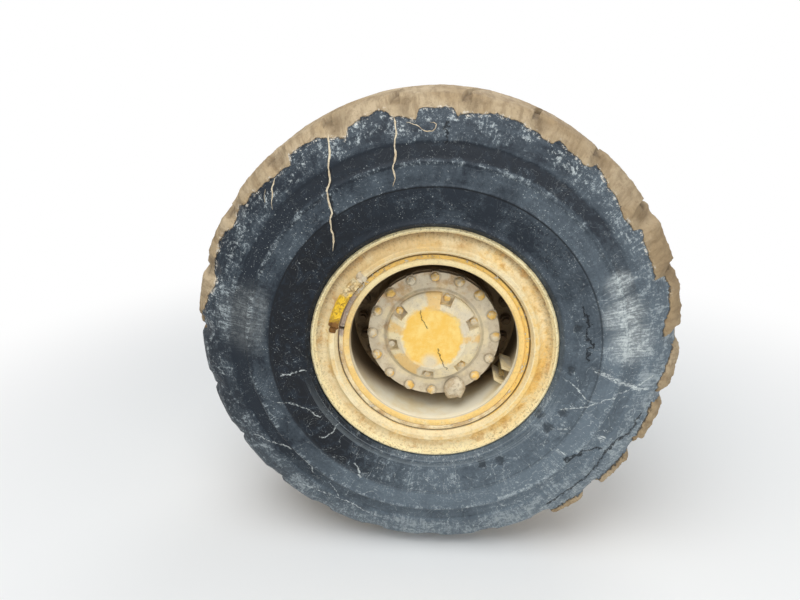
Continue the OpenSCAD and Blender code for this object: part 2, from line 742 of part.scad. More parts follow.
// Enclosed brake: drum with a flange at either end and ribs between them
module brake_housing() color(yellow) at_depth() difference() {
    union() {
        rotate_extrude() polygon([
            [journal_r + running_gap, brake_start_d],
            [brake_flange_r, brake_start_d],
            [brake_flange_r, brake_start_d + brake_flange_t],
            [brake_r, brake_start_d + brake_flange_t + 6],
            [brake_r, brake_end_d - brake_flange_t - 6],
            [brake_flange_r, brake_end_d - brake_flange_t],
            [brake_flange_r, brake_end_d],
            [brake_circle - brake_bolt_af / 2 - 6, brake_end_d],
            [axle_flange_r + 6, brake_end_d + 8],
            [axle_flange_r - 10, axle_flange_d],
            [journal_r + running_gap, axle_flange_d]
        ]);
        for (i = [0 : rib_count - 1]) at_clock((i + 0.5) * 360 / rib_count, 0)
            translate([brake_r - 3, -rib_t / 2, brake_start_d + 5])
                cube([brake_flange_r - brake_r - 5, rib_t, brake_end_d - brake_start_d - 10]);
        for (clock = port_clocks) translate([0, 0, port_d]) at_clock(clock, port_seat_r - 40)
            rotate([0, 90, 0]) cylinder(r = port_boss_r, h = 40);
    }
    translate([0, 0, brake_end_d - brake_bolt_len - 4]) at_brake_bolts()
        cylinder(r = brake_bolt_r + running_gap, h = brake_bolt_len + 5);
}

module brake_bolts() color(steel) at_depth(brake_end_d) at_brake_bolts() {
    hexagon(brake_bolt_af, brake_bolt_h);
    translate([0, 0, -brake_bolt_len]) cylinder(r = brake_bolt_r, h = brake_bolt_len + 1);
}

// Port for the brake's pressure line and the screw that bleeds it
module brake_port() color(steel) at_depth(port_d) at_clock(port_clocks[0], port_seat_r)
    rotate([0, 90, 0]) {
        cylinder(r = 16, h = 24);
        translate([0, 0, 24]) hexagon(26, 10);
        translate([0, 0, 34]) cylinder(r = 7, h = 14);
    }

module bleed_screw() color(steel) at_depth(port_d) at_clock(port_clocks[1], port_seat_r)
    rotate([0, 90, 0]) {
        cylinder(r = 9, h = 14);
        translate([0, 0, 14]) hexagon(11, 8);
        translate([0, 0, 22]) cylinder(r = 3.5, h = 12);
    }

// Outline of the shaft's splined end
module spline_outline() difference() {
    circle(r = spline_r);
    for (i = [0 : splines - 1]) at_clock(i * 360 / splines, spline_r + 1) circle(r = spline_cut, $fn = 24);
}

// Half shaft that drives the hub's gears
module half_shaft() color(steel) at_depth() {
    translate([0, 0, hub_flange_d - 60]) cylinder(r = shaft_r, h = lip_reach - hub_flange_d + 60 + 20);
    translate([0, 0, lip_reach + 19]) linear_extrude(height = shaft_out - 19) spline_outline();
}

tyre();
rim_base();
outer_flange();
inner_flange();
bead_seat_band();
lock_ring();
driver_key();
wheel_disc();
valve_stem();
valve_cap();
valve_guard();
hub();
wheel_studs();
wheel_nuts();
planet_carrier();
carrier_bolts();
oil_plug();
hub_cover();
cover_bolts();
spindle();
axle_flange();
brake_housing();
brake_bolts();
brake_port();
bleed_screw();
half_shaft();
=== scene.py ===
"""Looks of a dump truck's wheel end: weathered tyre, muddy rim, hub and axle end, in metres."""
import math

import bpy
import numpy as np
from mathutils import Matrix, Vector, noise
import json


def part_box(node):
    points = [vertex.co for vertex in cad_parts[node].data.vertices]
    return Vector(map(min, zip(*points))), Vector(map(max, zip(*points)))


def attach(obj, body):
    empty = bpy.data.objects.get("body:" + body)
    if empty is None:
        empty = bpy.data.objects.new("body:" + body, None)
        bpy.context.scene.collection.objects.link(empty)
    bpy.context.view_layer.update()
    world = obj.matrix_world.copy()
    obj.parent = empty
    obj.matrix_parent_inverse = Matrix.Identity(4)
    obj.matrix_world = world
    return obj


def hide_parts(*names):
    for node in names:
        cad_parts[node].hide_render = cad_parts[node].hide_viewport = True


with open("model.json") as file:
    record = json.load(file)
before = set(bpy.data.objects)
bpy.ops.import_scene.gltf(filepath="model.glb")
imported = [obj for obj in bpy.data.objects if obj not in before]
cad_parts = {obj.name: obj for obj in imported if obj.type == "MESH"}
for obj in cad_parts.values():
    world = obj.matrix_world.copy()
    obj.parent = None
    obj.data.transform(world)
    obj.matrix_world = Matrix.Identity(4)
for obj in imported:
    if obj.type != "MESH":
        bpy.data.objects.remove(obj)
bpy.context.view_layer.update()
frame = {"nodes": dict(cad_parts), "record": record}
nodes = frame["nodes"]
MM = 0.001

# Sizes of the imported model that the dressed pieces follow
LIP_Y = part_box("outer_flange")[0].y
RIM_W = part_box("inner_flange")[1].y - LIP_Y
MID_Y = LIP_Y + RIM_W / 2
FLOOR_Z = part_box("tyre")[0].z
CARRIER_D = (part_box("planet_carrier")[0].y - LIP_Y) / MM

# Bolt circles of the carrier and of the cover: clock angles in degrees, radii in millimetres
CARRIER_START = 0.7
CARRIER_PITCH = 22.5
CARRIER_CIRCLE = 205
CARRIER_PLACES = 16
PLUG_PLACE = 7
PLUG_CLOCK = CARRIER_START + PLUG_PLACE * CARRIER_PITCH
COVER_CIRCLE = 142
COVER_PAIR_CLOCK = 42.5
COVER_PAIR_HALF = 25

# Radii of the bands on the sidewall, in metres, from the rim outwards
RIM_RINGS = (0.402, 0.436)
INNER_BAND_END = (0.524, 0.508)
# Band painted dark as the shadow of the moulded line
MOULD_LINE_SHADOW = (0.5153, 0.5177)
FLAT_BAND = (0.528, 0.574)
RIDGE_BAND = (0.581, 0.591)
SUNK_BAND = (0.602, 0.634)
SHOULDER_START = (0.640, 0.668)

# Radii on the rim, in metres, from the well outwards
WELL_EDGE = (0.2925, 0.2895)
NOSE_RING = (0.2925, 0.2905)
LOCK_EDGE = (0.3015, 0.3045)
BAND_EDGE = (0.3105, 0.3195)
DISH_START = (0.3370, 0.3395)
DISH_BROWN_START = (0.347, 0.378)
LIP_START = (0.3750, 0.3785)
LIP_END = (0.3875, 0.3900)
# Depths on the rim's inside, in the cover's pockets and on the carrier's flank
INSIDE_START = (LIP_Y + 0.025, LIP_Y + 0.029)
SEAM = (LIP_Y + 0.027, LIP_Y + 0.031)
POCKET_FLOOR = (LIP_Y + 0.103, LIP_Y + 0.112)
FLANK_START = (LIP_Y + 0.122, LIP_Y + 0.15)

# Light of the open sky on the object, and the floor
SKY_COLOUR = (0.90, 0.95, 1.0, 1)
SKY_STRENGTH = 0.45
FLOOR_GREY = (0.84, 0.84, 0.83, 1)
WHITE = (1, 1, 1, 1)
FLOOR_FADE = (1.1, 3.2)

# Camera fitted to the photograph: 1.55 m over the ground, 1.76 m in front of the rim
CAMERA_PLACE = (0.005, LIP_Y - 1.761, 0.795)
CAMERA_YAW = math.radians(-3.575)
CAMERA_PITCH = math.radians(-19.694)
FOCAL_PX = 607.5
WIDTH_PX = 800
SENSOR_MM = 36


def srgb(red, green, blue):
    """Linear colour of an 8-bit screen colour."""
    def linear(value):
        share = value / 255
        return share / 12.92 if share <= 0.04045 else ((share + 0.055) / 1.055) ** 2.4
    return (linear(red), linear(green), linear(blue), 1.0)


# Colours, as they look in plain daylight
RUBBER = srgb(27, 35, 44)
RUBBER_DEEP = srgb(14, 18, 24)
RUBBER_DUSTY = srgb(100, 112, 121)
RUBBER_SCUFFED = srgb(150, 159, 162)
RUBBER_PALE = srgb(206, 212, 210)
MUD = srgb(172, 149, 115)
MUD_LIGHT = srgb(194, 174, 143)
MUD_GREY = srgb(198, 183, 156)
MUD_DARK = srgb(128, 107, 80)
MUD_DEEP = srgb(82, 65, 44)
MUD_PALE = srgb(220, 207, 180)
MUD_WHITE = srgb(224, 217, 202)
YELLOW = srgb(242, 198, 108)
YELLOW_DEEP = srgb(238, 180, 80)
YELLOW_BRIGHT = srgb(240, 194, 44)
COVER_YELLOW = srgb(244, 196, 92)
COVER_BRIGHT = srgb(248, 214, 128)
CREAM = srgb(220, 190, 136)
CREAM_PALE = srgb(240, 223, 180)
LIP_CREAM = srgb(250, 236, 188)
WALL_CREAM = srgb(250, 243, 220)
DISH_BROWN = srgb(140, 116, 80)
LOCK_TAN = srgb(196, 166, 120)
OCHRE = srgb(190, 142, 78)
FACET_SHADE_ORANGE = srgb(236, 192, 112)
RUST = srgb(108, 60, 28)
FLANK_SHADE = srgb(52, 44, 34)
DARK_BROWN = srgb(104, 89, 69)
BARE_STEEL = srgb(172, 154, 144)
STEEL = srgb(140, 136, 130)
BRASS = srgb(150, 130, 86)

# Marks on the sidewall seen from outboard: x and z in millimetres along each
PALE_MARKS = (
    ((500, -54), (640, -106)),
    ((415, -193), (503, -168), (600, -125), (692, -73)),
    ((414, -82), (509, -164)),
    ((-604, -328), (-531, -352), (-463, -377), (-417, -415), (-401, -465)),
    ((-485, -96), (-405, -81)),
    ((-373, -322), (-354, -324), (-303, -271)),
    ((-505, -191), (-447, -197), (-372, -244)),
    ((-440, -530), (-337, -558), (-256, -600), (-191, -643)),
    ((-257, -421), (-237, -470)),
    ((-343, -509), (-320, -554)))
BROAD_MARKS = (
    ((496, -42), (590, -88), (677, -119)),
    ((414, -338), (436, -352)),
    ((542, -290), (554, -298)))
DARK_MARKS = (
    ((438, -375), (451, -364), (484, -341), (554, -330)),
    ((438, -375), (449, -381), (462, -362), (488, -350)),
    ((407, -567), (484, -493), (530, -448), (551, -404), (575, -349), (609, -300), (647, -281), (672, -211)),
    ((449, 156), (468, 110), (464, 79), (485, 38), (473, -9)),
    ((25, 691), (26, 637)),
    ((-304, 560), (-309, 501), (-297, 437), (-300, 330)))
DARK_SPOTS = ((440, 89), (434, -50), (228, -388), (172, -408), (376, -260), (350, -215), (422, -203))
# Scuffed patches: x, z, and the radii in metres between which each fades
RIGHT_PATCHES = ((0.571, 0.138, 0.02, 0.085), (0.605, 0.047, 0.02, 0.095))
UPPER_PATCH = (0.545, 0.235, 0.01, 0.06)
LEFT_PATCH = (-0.57, 0.10, 0.03, 0.15)

# Hub cover: cracks, a lump of mud, and orange wedges between the pockets, painted shade of their sloped
# walls, by clock angle and half angle
COVER_CRACKS = (((-44, 98), (-38, 68), (-18, 38)), ((15, -35), (27, -73), (46, -111)))
COVER_LUMP = (-0.010, -0.084, 0.012, 0.042)
SHADED_FACET_WEDGES = ((0, 8), (91, 3), (284, 5), (222, 17))
# Lock ring: clock angle, half angle and fade of the bare steel and of the crust beside the key
LOCK_BARE = (290, 13, 3.0)
LOCK_CRUST = (309, 6, 3.0)


class Nodes:
    """A node tree. Most methods add nodes and return the socket that holds the result."""

    def __init__(self, tree):
        self.tree = tree

    def add(self, kind, inputs=None, **settings):
        """A node with its settings, and its inputs from sockets or values."""
        node = self.tree.nodes.new(kind)
        for name, value in settings.items():
            setattr(node, name, value)
        return self.fill(node, inputs or {})

    def fill(self, node, inputs):
        for key, value in inputs.items():
            self.link(value, node.inputs[key])
        return node

    def link(self, source, socket):
        if isinstance(source, bpy.types.NodeSocket):
            self.tree.links.new(source, socket)
        else:
            socket.default_value = source

    def math(self, operation, first, second=0.0, clamp=False):
        node = self.add("ShaderNodeMath", {0: first, 1: second}, operation=operation, use_clamp=clamp)
        return node.outputs[0]

    def chain(self, operation, values):
        result = values[0]
        for value in values[1:]:
            result = self.math(operation, result, value)
        return result

    def times(self, *values):
        return self.chain("MULTIPLY", values)

    def plus(self, *values):
        return self.chain("ADD", values)

    def most(self, *values):
        return self.chain("MAXIMUM", values)

    def background_rays(self):
        """1 for the rays that show the background: the camera's, and those off metal and through glass."""
        rays = self.add("ShaderNodeLightPath").outputs
        return self.most(rays["Is Camera Ray"], rays["Is Glossy Ray"], rays["Is Transmission Ray"])


class Shade(Nodes):
    """One material."""

    def __init__(self, name):
        self.material = bpy.data.materials.new(name)
        self.material.use_nodes = True
        super().__init__(self.material.node_tree)
        self.shader = self.tree.nodes["Principled BSDF"]
        self.place = self.add("ShaderNodeTexCoord").outputs["Object"]
        self.x, self.y, self.z = self.add("ShaderNodeSeparateXYZ", {0: self.place}).outputs
        self.radius = self.length(self.x, self.z)
        self.clock = self.math("ARCTAN2", self.x, self.z)

    def noise(self, scale, detail=4.0, rough=0.55, place=None, warp=0.0):
        inputs = {"Vector": self.place if place is None else place, "Scale": scale, "Detail": detail,
                  "Roughness": rough, "Distortion": warp}
        return self.add("ShaderNodeTexNoise", inputs).outputs["Fac"]

    def polar(self, around, across, along):
        """Coordinates that run round the axis, outwards and along it, scaled apart, with no seam."""
        turn = self.math("DIVIDE", self.x, self.radius), self.math("DIVIDE", self.z, self.radius)
        out = self.plus(self.times(self.radius, across), self.times(self.y, along))
        inputs = {0: self.times(turn[0], around), 1: self.times(turn[1], around), 2: out}
        return self.add("ShaderNodeCombineXYZ", inputs).outputs[0]

    def step(self, value, low, high, smooth=True):
        """0 below low, 1 above high; the other way round where low is above high."""
        ends = (low, high, 0.0, 1.0) if low < high else (high, low, 1.0, 0.0)
        inputs = dict(zip(("Value", "From Min", "From Max", "To Min", "To Max"), (value, *ends)))
        kind = "SMOOTHSTEP" if smooth else "LINEAR"
        return self.add("ShaderNodeMapRange", inputs, interpolation_type=kind).outputs["Result"]

    def window(self, value, low, high, soft):
        """1 between low and high, fading over soft on each side."""
        return self.times(self.step(value, low - soft, low), self.step(value, high + soft, high))

    def swing(self, value, reach):
        """A noise about its middle, scaled."""
        return self.times(self.plus(value, -0.5), reach)

    def length(self, across, up):
        return self.math("SQRT", self.plus(self.times(across, across), self.times(up, up)))

    def wrapped(self, clock, half):
        """Clock angle from a place, in radians, repeated so that it stays within half a turn or pitch."""
        inputs = {0: self.plus(self.clock, -math.radians(clock)), 1: half, 2: -half}
        return self.add("ShaderNodeMath", inputs, operation="WRAP").outputs[0]

    def mix(self, share, first, second):
        inputs = {"Factor": share, 6: first, 7: second}
        return self.add("ShaderNodeMix", inputs, data_type="RGBA").outputs[2]

    def over(self, colour, film, *shares):
        """A colour with another over it, as far as all the shares multiplied together say."""
        return self.mix(self.times(*shares), colour, film)

    def thread(self, value, width):
        """Thin lines where a noise passes its middle."""
        return self.step(self.math("ABSOLUTE", self.plus(value, -0.5)), width, width * 0.3)

    def spot(self, x, z, inner, outer):
        """1 within inner metres of a place seen from outboard, 0 beyond outer."""
        return self.step(self.length(self.plus(self.x, -x), self.plus(self.z, -z)), outer, inner)

    def arc(self, clock, half, soft, sway=0.0):
        """1 within half degrees of a clock angle, fading over soft."""
        away = self.plus(self.math("ABSOLUTE", self.wrapped(clock, math.pi)), self.times(sway, 4.0))
        return self.step(away, math.radians(half + soft), math.radians(half))

    def vector(self, operation, *values):
        node = self.add("ShaderNodeVectorMath", dict(enumerate(values)), operation=operation)
        return node.outputs["Value" if operation in ("DISTANCE", "DOT_PRODUCT") else "Vector"]

    def bent(self, reach, scale):
        """The place seen from outboard, moved about by up to half of reach."""
        x = self.plus(self.x, self.swing(self.noise(scale, 5, 0.7), reach))
        z = self.plus(self.z, self.swing(self.noise(scale * 1.23, 5, 0.7), reach))
        return self.add("ShaderNodeCombineXYZ", {0: x, 2: z}).outputs[0]

    def near(self, place, paths):
        """Distance to the nearest of some paths, each a row of x and z in millimetres."""
        distances = []
        for path in paths:
            for (x0, z0), (x1, z1) in zip(path, path[1:] or path):
                start, run = Vector((x0, 0, z0)) * MM, Vector((x1 - x0, 0, z1 - z0)) * MM
                foot = start
                if run.length:
                    away = self.vector("SUBTRACT", place, start)
                    along = self.vector("DOT_PRODUCT", away, run / run.length_squared)
                    share = self.math("ADD", along, 0.0, clamp=True)
                    foot = self.vector("MULTIPLY_ADD", share, run, start)
                distances.append(self.vector("DISTANCE", place, foot))
        return self.chain("MINIMUM", distances)

    def attribute(self, name):
        return self.add("ShaderNodeAttribute", attribute_name=name).outputs["Fac"]

    def bump(self, height, distance, below=None):
        inputs = {"Height": height, "Strength": 1.0, "Distance": distance}
        if below is not None:
            inputs["Normal"] = below
        return self.add("ShaderNodeBump", inputs).outputs["Normal"]

    def finish(self, colour, rough, normal, metallic=0.0, specular=0.5):
        self.fill(self.shader, {"Base Color": colour, "Roughness": rough, "Normal": normal,
                                "Metallic": metallic, "Specular IOR Level": specular})
        return self.material


def rubber_material():
    """Charcoal rubber under grey dust and painted light and shade, with pale scuffs, scratches and cuts, and
    mud on the tread.
    """
    s = Shade("tyre_rubber")
    cloud = s.noise(7, 6, 0.68, warp=0.6)
    blotch = s.noise(26, 6, 0.75, warp=0.8)
    grain = s.noise(105, 6, 0.8)
    radius = s.plus(s.radius, s.swing(s.noise(12, 3, 0.6), 0.018))
    # Lower right is dusty and pale; the upper left is painted darker as shade
    low = s.step(s.plus(s.times(s.x, 0.55), s.times(s.z, -0.85)), -0.30, 0.55)
    right = s.step(s.x, 0.05, 0.5)
    outboard = s.step(s.y, MID_Y, MID_Y - 0.1)
    inner = s.step(s.radius, *INNER_BAND_END)
    ridge = s.window(radius, *RIDGE_BAND, 0.009)
    sunk = s.window(radius, *SUNK_BAND, 0.012)
    shoulder = s.step(radius, *SHOULDER_START)
    fibres = s.noise(1.0, 5, 0.8, place=s.polar(105, 14, 5))
    rings = s.noise(1.0, 5, 0.7, place=s.polar(3, 85, 4))
    left = s.step(s.x, 0.0, -0.4)
    # The flat band inside the ridge is the smoothest; the ridge is rubbed pale on the left
    flat = s.window(radius, *FLAT_BAND, 0.008)
    rubbed = s.times(s.spot(*LEFT_PATCH), s.step(s.radius, 0.52, 0.55))
    # Dust, with painted shade at the upper left and in the sunk band, and a little painted light on the
    # shoulder
    dust_and_painted_light = s.plus(
        0.17, s.times(low, 0.56), s.times(right, 0.06), s.times(inner, s.plus(s.times(left, -0.12), -0.15)),
        s.times(sunk, s.plus(s.times(low, 0.10), -0.24)), s.times(shoulder, 0.05), s.times(flat, 0.08),
        s.times(left, -0.10),
        s.swing(cloud, 1.1), s.swing(rings, 0.4), s.swing(blotch, 0.5), s.swing(grain, 0.7))
    colour = s.mix(s.step(dust_and_painted_light, 0.0, 0.85, smooth=False), RUBBER, RUBBER_DUSTY)
    # Scuffs: short fibres on the shoulder and the ridge, whole patches on the right; the shoulder, the ridge
    # and the lower part are also paler as painted highlight, the sunk band darker as painted shade
    patch = s.most(*[s.spot(*place) for place in RIGHT_PATCHES], s.times(s.spot(*UPPER_PATCH), 0.8),
                   s.times(rubbed, 0.3))
    scuffs_and_painted_light = s.plus(
        s.times(shoulder, 0.10), s.times(ridge, 0.10), s.times(low, 0.12), s.times(flat, -0.08),
        s.times(inner, s.plus(s.times(low, 0.10), -0.14)), s.times(sunk, -0.10), s.times(patch, 0.22),
        s.swing(cloud, 0.8), s.swing(blotch, 1.2), s.swing(fibres, 1.0), s.swing(grain, 1.3))
    colour = s.over(colour, RUBBER_SCUFFED, s.step(scuffs_and_painted_light, 0.15, 0.43), 0.90)
    streaks = s.step(s.plus(s.times(blotch, 0.7), s.times(grain, 0.7), s.times(fibres, 1.1)), 1.14, 1.44)
    rubbed_white = s.times(patch, s.plus(s.times(streaks, 0.65), 0.22))
    colour = s.over(colour, RUBBER_PALE, rubbed_white)
    # Clean rubber on the inner ring on the left; on the sunk band at the top the deep dark is painted shade
    clean = s.most(s.times(inner, left, 0.95), s.times(sunk, s.step(s.z, 0.3, 0.6), 0.5))
    colour = s.over(colour, RUBBER_DEEP, clean, s.step(blotch, 0.62, 0.46))
    specks = s.times(s.step(s.noise(240, 2, 0.5), 0.66, 0.74), s.step(cloud, 0.40, 0.60), 0.75)
    crossed = s.thread(s.noise(8, 3, 0.5, warp=2.2), 0.008)
    crossed = s.times(crossed, s.step(grain, 0.42, 0.60), s.plus(s.times(low, 0.45), 0.1))
    # Marks that stand out, bent a little so that none runs straight
    place = s.bent(0.035, 22)
    pale = s.times(s.step(s.near(place, PALE_MARKS), 0.0030, 0.0006), s.step(grain, 0.42, 0.56),
                   outboard, 0.8)
    broad = s.times(s.step(s.near(place, BROAD_MARKS), 0.010, 0.003), s.step(fibres, 0.44, 0.60),
                    s.step(grain, 0.40, 0.52), outboard)
    colour = s.over(colour, RUBBER_PALE, s.most(s.times(specks, outboard), crossed, pale, broad))
    ragged = s.bent(0.055, 48)
    cuts = s.times(s.step(s.near(ragged, DARK_MARKS), 0.0048, 0.0016), s.step(grain, 0.34, 0.48), outboard)
    spots = s.times(s.step(s.near(ragged, [[spot] for spot in DARK_SPOTS]), 0.021, 0.008), outboard)
    # Painted shadow along the moulded line, weaker low down
    line = s.times(s.window(s.radius, *MOULD_LINE_SHADOW, 0.0022), s.plus(s.times(low, -0.5), 0.8))
    colour = s.over(colour, RUBBER_DEEP, s.most(line, s.times(cuts, 0.85), s.times(spots, 0.6)))
    low_rings = s.times(s.window(s.radius, *RIM_RINGS, 0.006), s.step(s.z, -0.05, -0.3),
                        s.thread(s.noise(1.0, 1, 0.5, place=s.polar(0.2, 130, 1)), 0.10))
    colour = s.over(colour, RUBBER_SCUFFED, low_rings, 0.25)
    # Mud: its edge dries pale and ragged
    edge = s.plus(s.attribute("mud"), s.swing(s.noise(60, 6, 0.75), 1.3))
    coat = s.step(edge, -0.05, 0.16)
    high = s.step(s.plus(s.z, s.times(s.x, -0.3)), -0.1, 0.15)
    flaked = s.step(s.plus(s.noise(40, 6, 0.8), s.times(grain, 0.8)), 0.94, 1.04)
    dried = s.times(s.window(edge, -0.35, 0.25, 0.4), flaked)
    splash = s.times(s.window(edge, -3.4, 0.1, 1.4), s.step(s.plus(grain, blotch), 1.07, 1.22), high)
    # The mud itself: darker in runs and grains and on the right; in the hollows it is darker as painted shade
    runs = s.noise(1.0, 5, 0.7, place=s.polar(30, 6, 6))
    tone = s.mix(s.step(s.noise(5, 5, 0.65), 0.38, 0.64), MUD, MUD_LIGHT)
    tone = s.over(tone, MUD_DARK, s.step(runs, 0.44, 0.62), 0.50)
    tone = s.over(tone, MUD_DARK, s.step(s.noise(30, 6, 0.8), 0.50, 0.66), 0.5)
    tone = s.over(tone, MUD_DEEP, s.step(grain, 0.57, 0.68), 0.3)
    tone = s.over(tone, MUD_DEEP, s.step(s.attribute("hollow"), 0.25, 0.9), 0.5)
    tone = s.over(tone, MUD_DARK, right, 0.22)
    colour = s.over(colour, RUBBER_PALE, splash, 0.45)
    colour = s.over(colour, tone, coat)
    colour = s.over(colour, MUD_WHITE, dried, high, 0.8)
    rough = s.plus(s.times(coat, 0.3), s.times(grain, 0.3), 0.38)
    fine = s.plus(s.times(grain, 0.8), s.times(cloud, 0.6), s.times(blotch, 0.7), s.times(cuts, -1.2))
    lumps = s.times(coat, s.plus(s.times(s.noise(45, 6, 0.78), 0.9), 0.8))
    return s.finish(colour, rough, s.bump(lumps, 0.007, s.bump(fine, 0.0016)), specular=0.25)


def rim_material():
    """Yellow paint under a film of dried mud: pitted bright lip, partly painted highlight; tan dish with
    painted shade under the lip; cream nose; dark well, painted shade.
    """
    s = Shade("rim_paint")
    broad = s.noise(5.5, 5, 0.62)
    cloud = s.noise(20, 6, 0.75)
    grit = s.noise(125, 6, 0.8)
    low = s.step(s.z, 0.30, -0.34)
    right = s.step(s.x, -0.25, 0.3)
    lip = s.step(s.radius, *LIP_START)
    edge = s.step(s.radius, *LIP_END)
    dish = s.times(s.step(s.radius, *DISH_START), s.step(lip, 1.0, 0.0))
    outward = s.times(dish, s.step(s.plus(s.radius, s.swing(cloud, 0.02)), *DISH_BROWN_START))
    ring = s.step(s.radius, *NOSE_RING)
    # Paint shows most on the right, low down, and on the ring next to the well
    upper = s.step(s.z, 0.08, 0.22)
    paint = s.plus(s.times(right, 0.30), s.times(low, 0.06), s.times(ring, 0.42), s.times(upper, -0.10),
                   0.22, s.swing(broad, 1.6), s.swing(cloud, 1.1))
    film = s.mix(s.step(s.noise(7, 5, 0.65), 0.36, 0.62), CREAM, CREAM_PALE)
    colour = s.mix(s.step(paint, 0.20, 0.80), film, YELLOW)
    colour = s.over(colour, YELLOW_DEEP, s.step(paint, 0.52, 0.90), dish, 0.75)
    # Painted shade with dirt: the dish turns brown under the lip, most at the top; painted light: low down it
    # is cream near the lip, where it faces up
    dish_dirt_and_shade = s.times(outward, s.plus(1.0, s.times(low, -0.90), s.times(right, -0.12)))
    colour = s.over(colour, DISH_BROWN, dish_dirt_and_shade, 0.9)
    colour = s.over(colour, LIP_CREAM, dish, low, s.step(outward, 0.3, 0.8), 0.55)
    # The band's bright edge round the lock ring
    colour = s.over(colour, CREAM_PALE, s.window(s.radius, *BAND_EDGE, 0.002), 0.7)
    stain = s.times(s.step(cloud, 0.50, 0.64), s.plus(s.times(dish, 0.50), s.times(lip, 0.25), 0.12))
    colour = s.over(colour, OCHRE, stain)
    # Brush marks that run outwards over the dish
    marks = s.noise(1.0, 5, 0.75, place=s.polar(42, 9, 6))
    colour = s.over(colour, OCHRE, s.step(marks, 0.50, 0.64), dish, 0.16)
    colour = s.over(colour, CREAM_PALE, s.step(marks, 0.46, 0.34), dish, 0.22)
    # Bright lip and ring, the lip partly worn paint and partly painted highlight; grains of dirt and pits;
    # the lip's outer edge darker as painted shadow with dirt
    bright = s.most(s.times(lip, 0.75), s.times(ring, s.plus(s.times(upper, 0.5), 0.15)))
    colour = s.over(colour, LIP_CREAM, bright)
    pits = s.times(s.step(s.noise(170, 4, 0.65), 0.54, 0.65), s.plus(s.times(lip, 0.5), 0.14))
    colour = s.over(colour, DISH_BROWN, pits)
    dirty = s.plus(s.times(outward, s.plus(0.65, s.times(low, -0.5))), 0.16)
    colour = s.over(colour, MUD_DEEP, s.step(grit, 0.48, 0.64), dirty)
    colour = s.over(colour, MUD_DEEP, edge, s.step(cloud, 0.46, 0.60), 0.5)
    # Inside of the rim: pale mud low and in front; above and behind it is painted dark as shade
    inside = s.times(s.step(s.radius, *WELL_EDGE), s.step(s.y, *INSIDE_START))
    wall = s.mix(s.step(s.noise(9, 5, 0.6), 0.40, 0.7), WALL_CREAM, CREAM_PALE)
    depth = s.plus(s.y, s.times(s.z, 0.62), s.times(s.x, -0.10), s.swing(cloud, 0.03))
    wall = s.over(wall, MUD_LIGHT, s.step(depth, LIP_Y, LIP_Y + 0.10))
    wall = s.over(wall, DARK_BROWN, s.step(depth, LIP_Y + 0.05, LIP_Y + 0.15))
    seam = s.window(s.y, *SEAM, 0.002)
    wall = s.over(wall, DISH_BROWN, seam, 0.45)
    colour = s.over(colour, wall, inside)
    rough = s.plus(s.times(cloud, 0.3), 0.4)
    height = s.plus(s.times(grit, 0.8), s.times(cloud, 0.7), s.times(pits, -0.8))
    return s.finish(colour, rough, s.bump(height, 0.0016), specular=0.35)


def paint_material(name, base, film, bare, spots, deep=MUD_DARK):
    """Paint under dried mud. The share of bare paint grows with bare, dirt with spots."""
    s = Shade(name)
    broad = s.noise(9, 5, 0.62)
    cloud = s.noise(30, 6, 0.7)
    grit = s.noise(110, 6, 0.75)
    share = s.step(s.plus(broad, s.swing(cloud, 0.6)), 0.66 - bare * 0.4, 0.82 - bare * 0.4)
    colour = s.mix(share, film, base)
    colour = s.over(colour, deep, s.step(cloud, 0.48, 0.68), spots)
    colour = s.over(colour, MUD_DEEP, s.step(grit, 0.58, 0.70), spots)
    height = s.plus(s.times(grit, 0.7), s.times(cloud, 0.9), s.times(share, -0.4))
    return s.finish(colour, s.plus(s.times(cloud, 0.25), 0.5), s.bump(height, 0.0014), specular=0.3)


def carrier_material():
    """Grey-tan mud with ochre patches high on the left."""
    s = Shade("carrier_paint")
    cloud = s.noise(24, 6, 0.75)
    grit = s.noise(115, 6, 0.8)
    tone = s.mix(s.step(s.noise(9, 5, 0.65), 0.30, 0.60), MUD_GREY, MUD_PALE)
    tone = s.over(tone, MUD, s.step(cloud, 0.48, 0.66), 0.45)
    patch = s.times(s.step(s.plus(s.times(s.x, -0.7), s.z), -0.02, 0.16),
                    s.step(s.noise(12, 5, 0.65), 0.46, 0.62))
    tone = s.over(tone, OCHRE, patch, 0.6)
    pale = s.times(s.window(s.radius, 0.158, 0.178, 0.012), s.step(s.noise(15, 4, 0.6), 0.4, 0.6))
    tone = s.over(tone, CREAM_PALE, pale, 0.6)
    tone = s.over(tone, MUD_DARK, s.step(grit, 0.54, 0.68), 0.4)
    # Painted shade in the corner round each bolt and in the ring groove near the cover
    circle = CARRIER_CIRCLE * MM
    around = s.times(s.wrapped(CARRIER_START, math.radians(CARRIER_PITCH / 2)), circle)
    away = s.length(around, s.plus(s.radius, -circle))
    tone = s.over(tone, DARK_BROWN, s.window(away, 0.012, 0.0185, 0.003), cloud, 0.60)
    tone = s.over(tone, DARK_BROWN, s.window(s.radius, 0.161, 0.166, 0.003), cloud, 0.6)
    # Painted shade on the flank, deep in the gap
    tone = s.over(tone, FLANK_SHADE, s.step(s.y, *FLANK_START), 0.8)
    height = s.plus(s.times(cloud, 1.1), s.times(grit, 0.8))
    return s.finish(tone, s.plus(s.times(cloud, 0.2), 0.62), s.bump(height, 0.0024), specular=0.25)


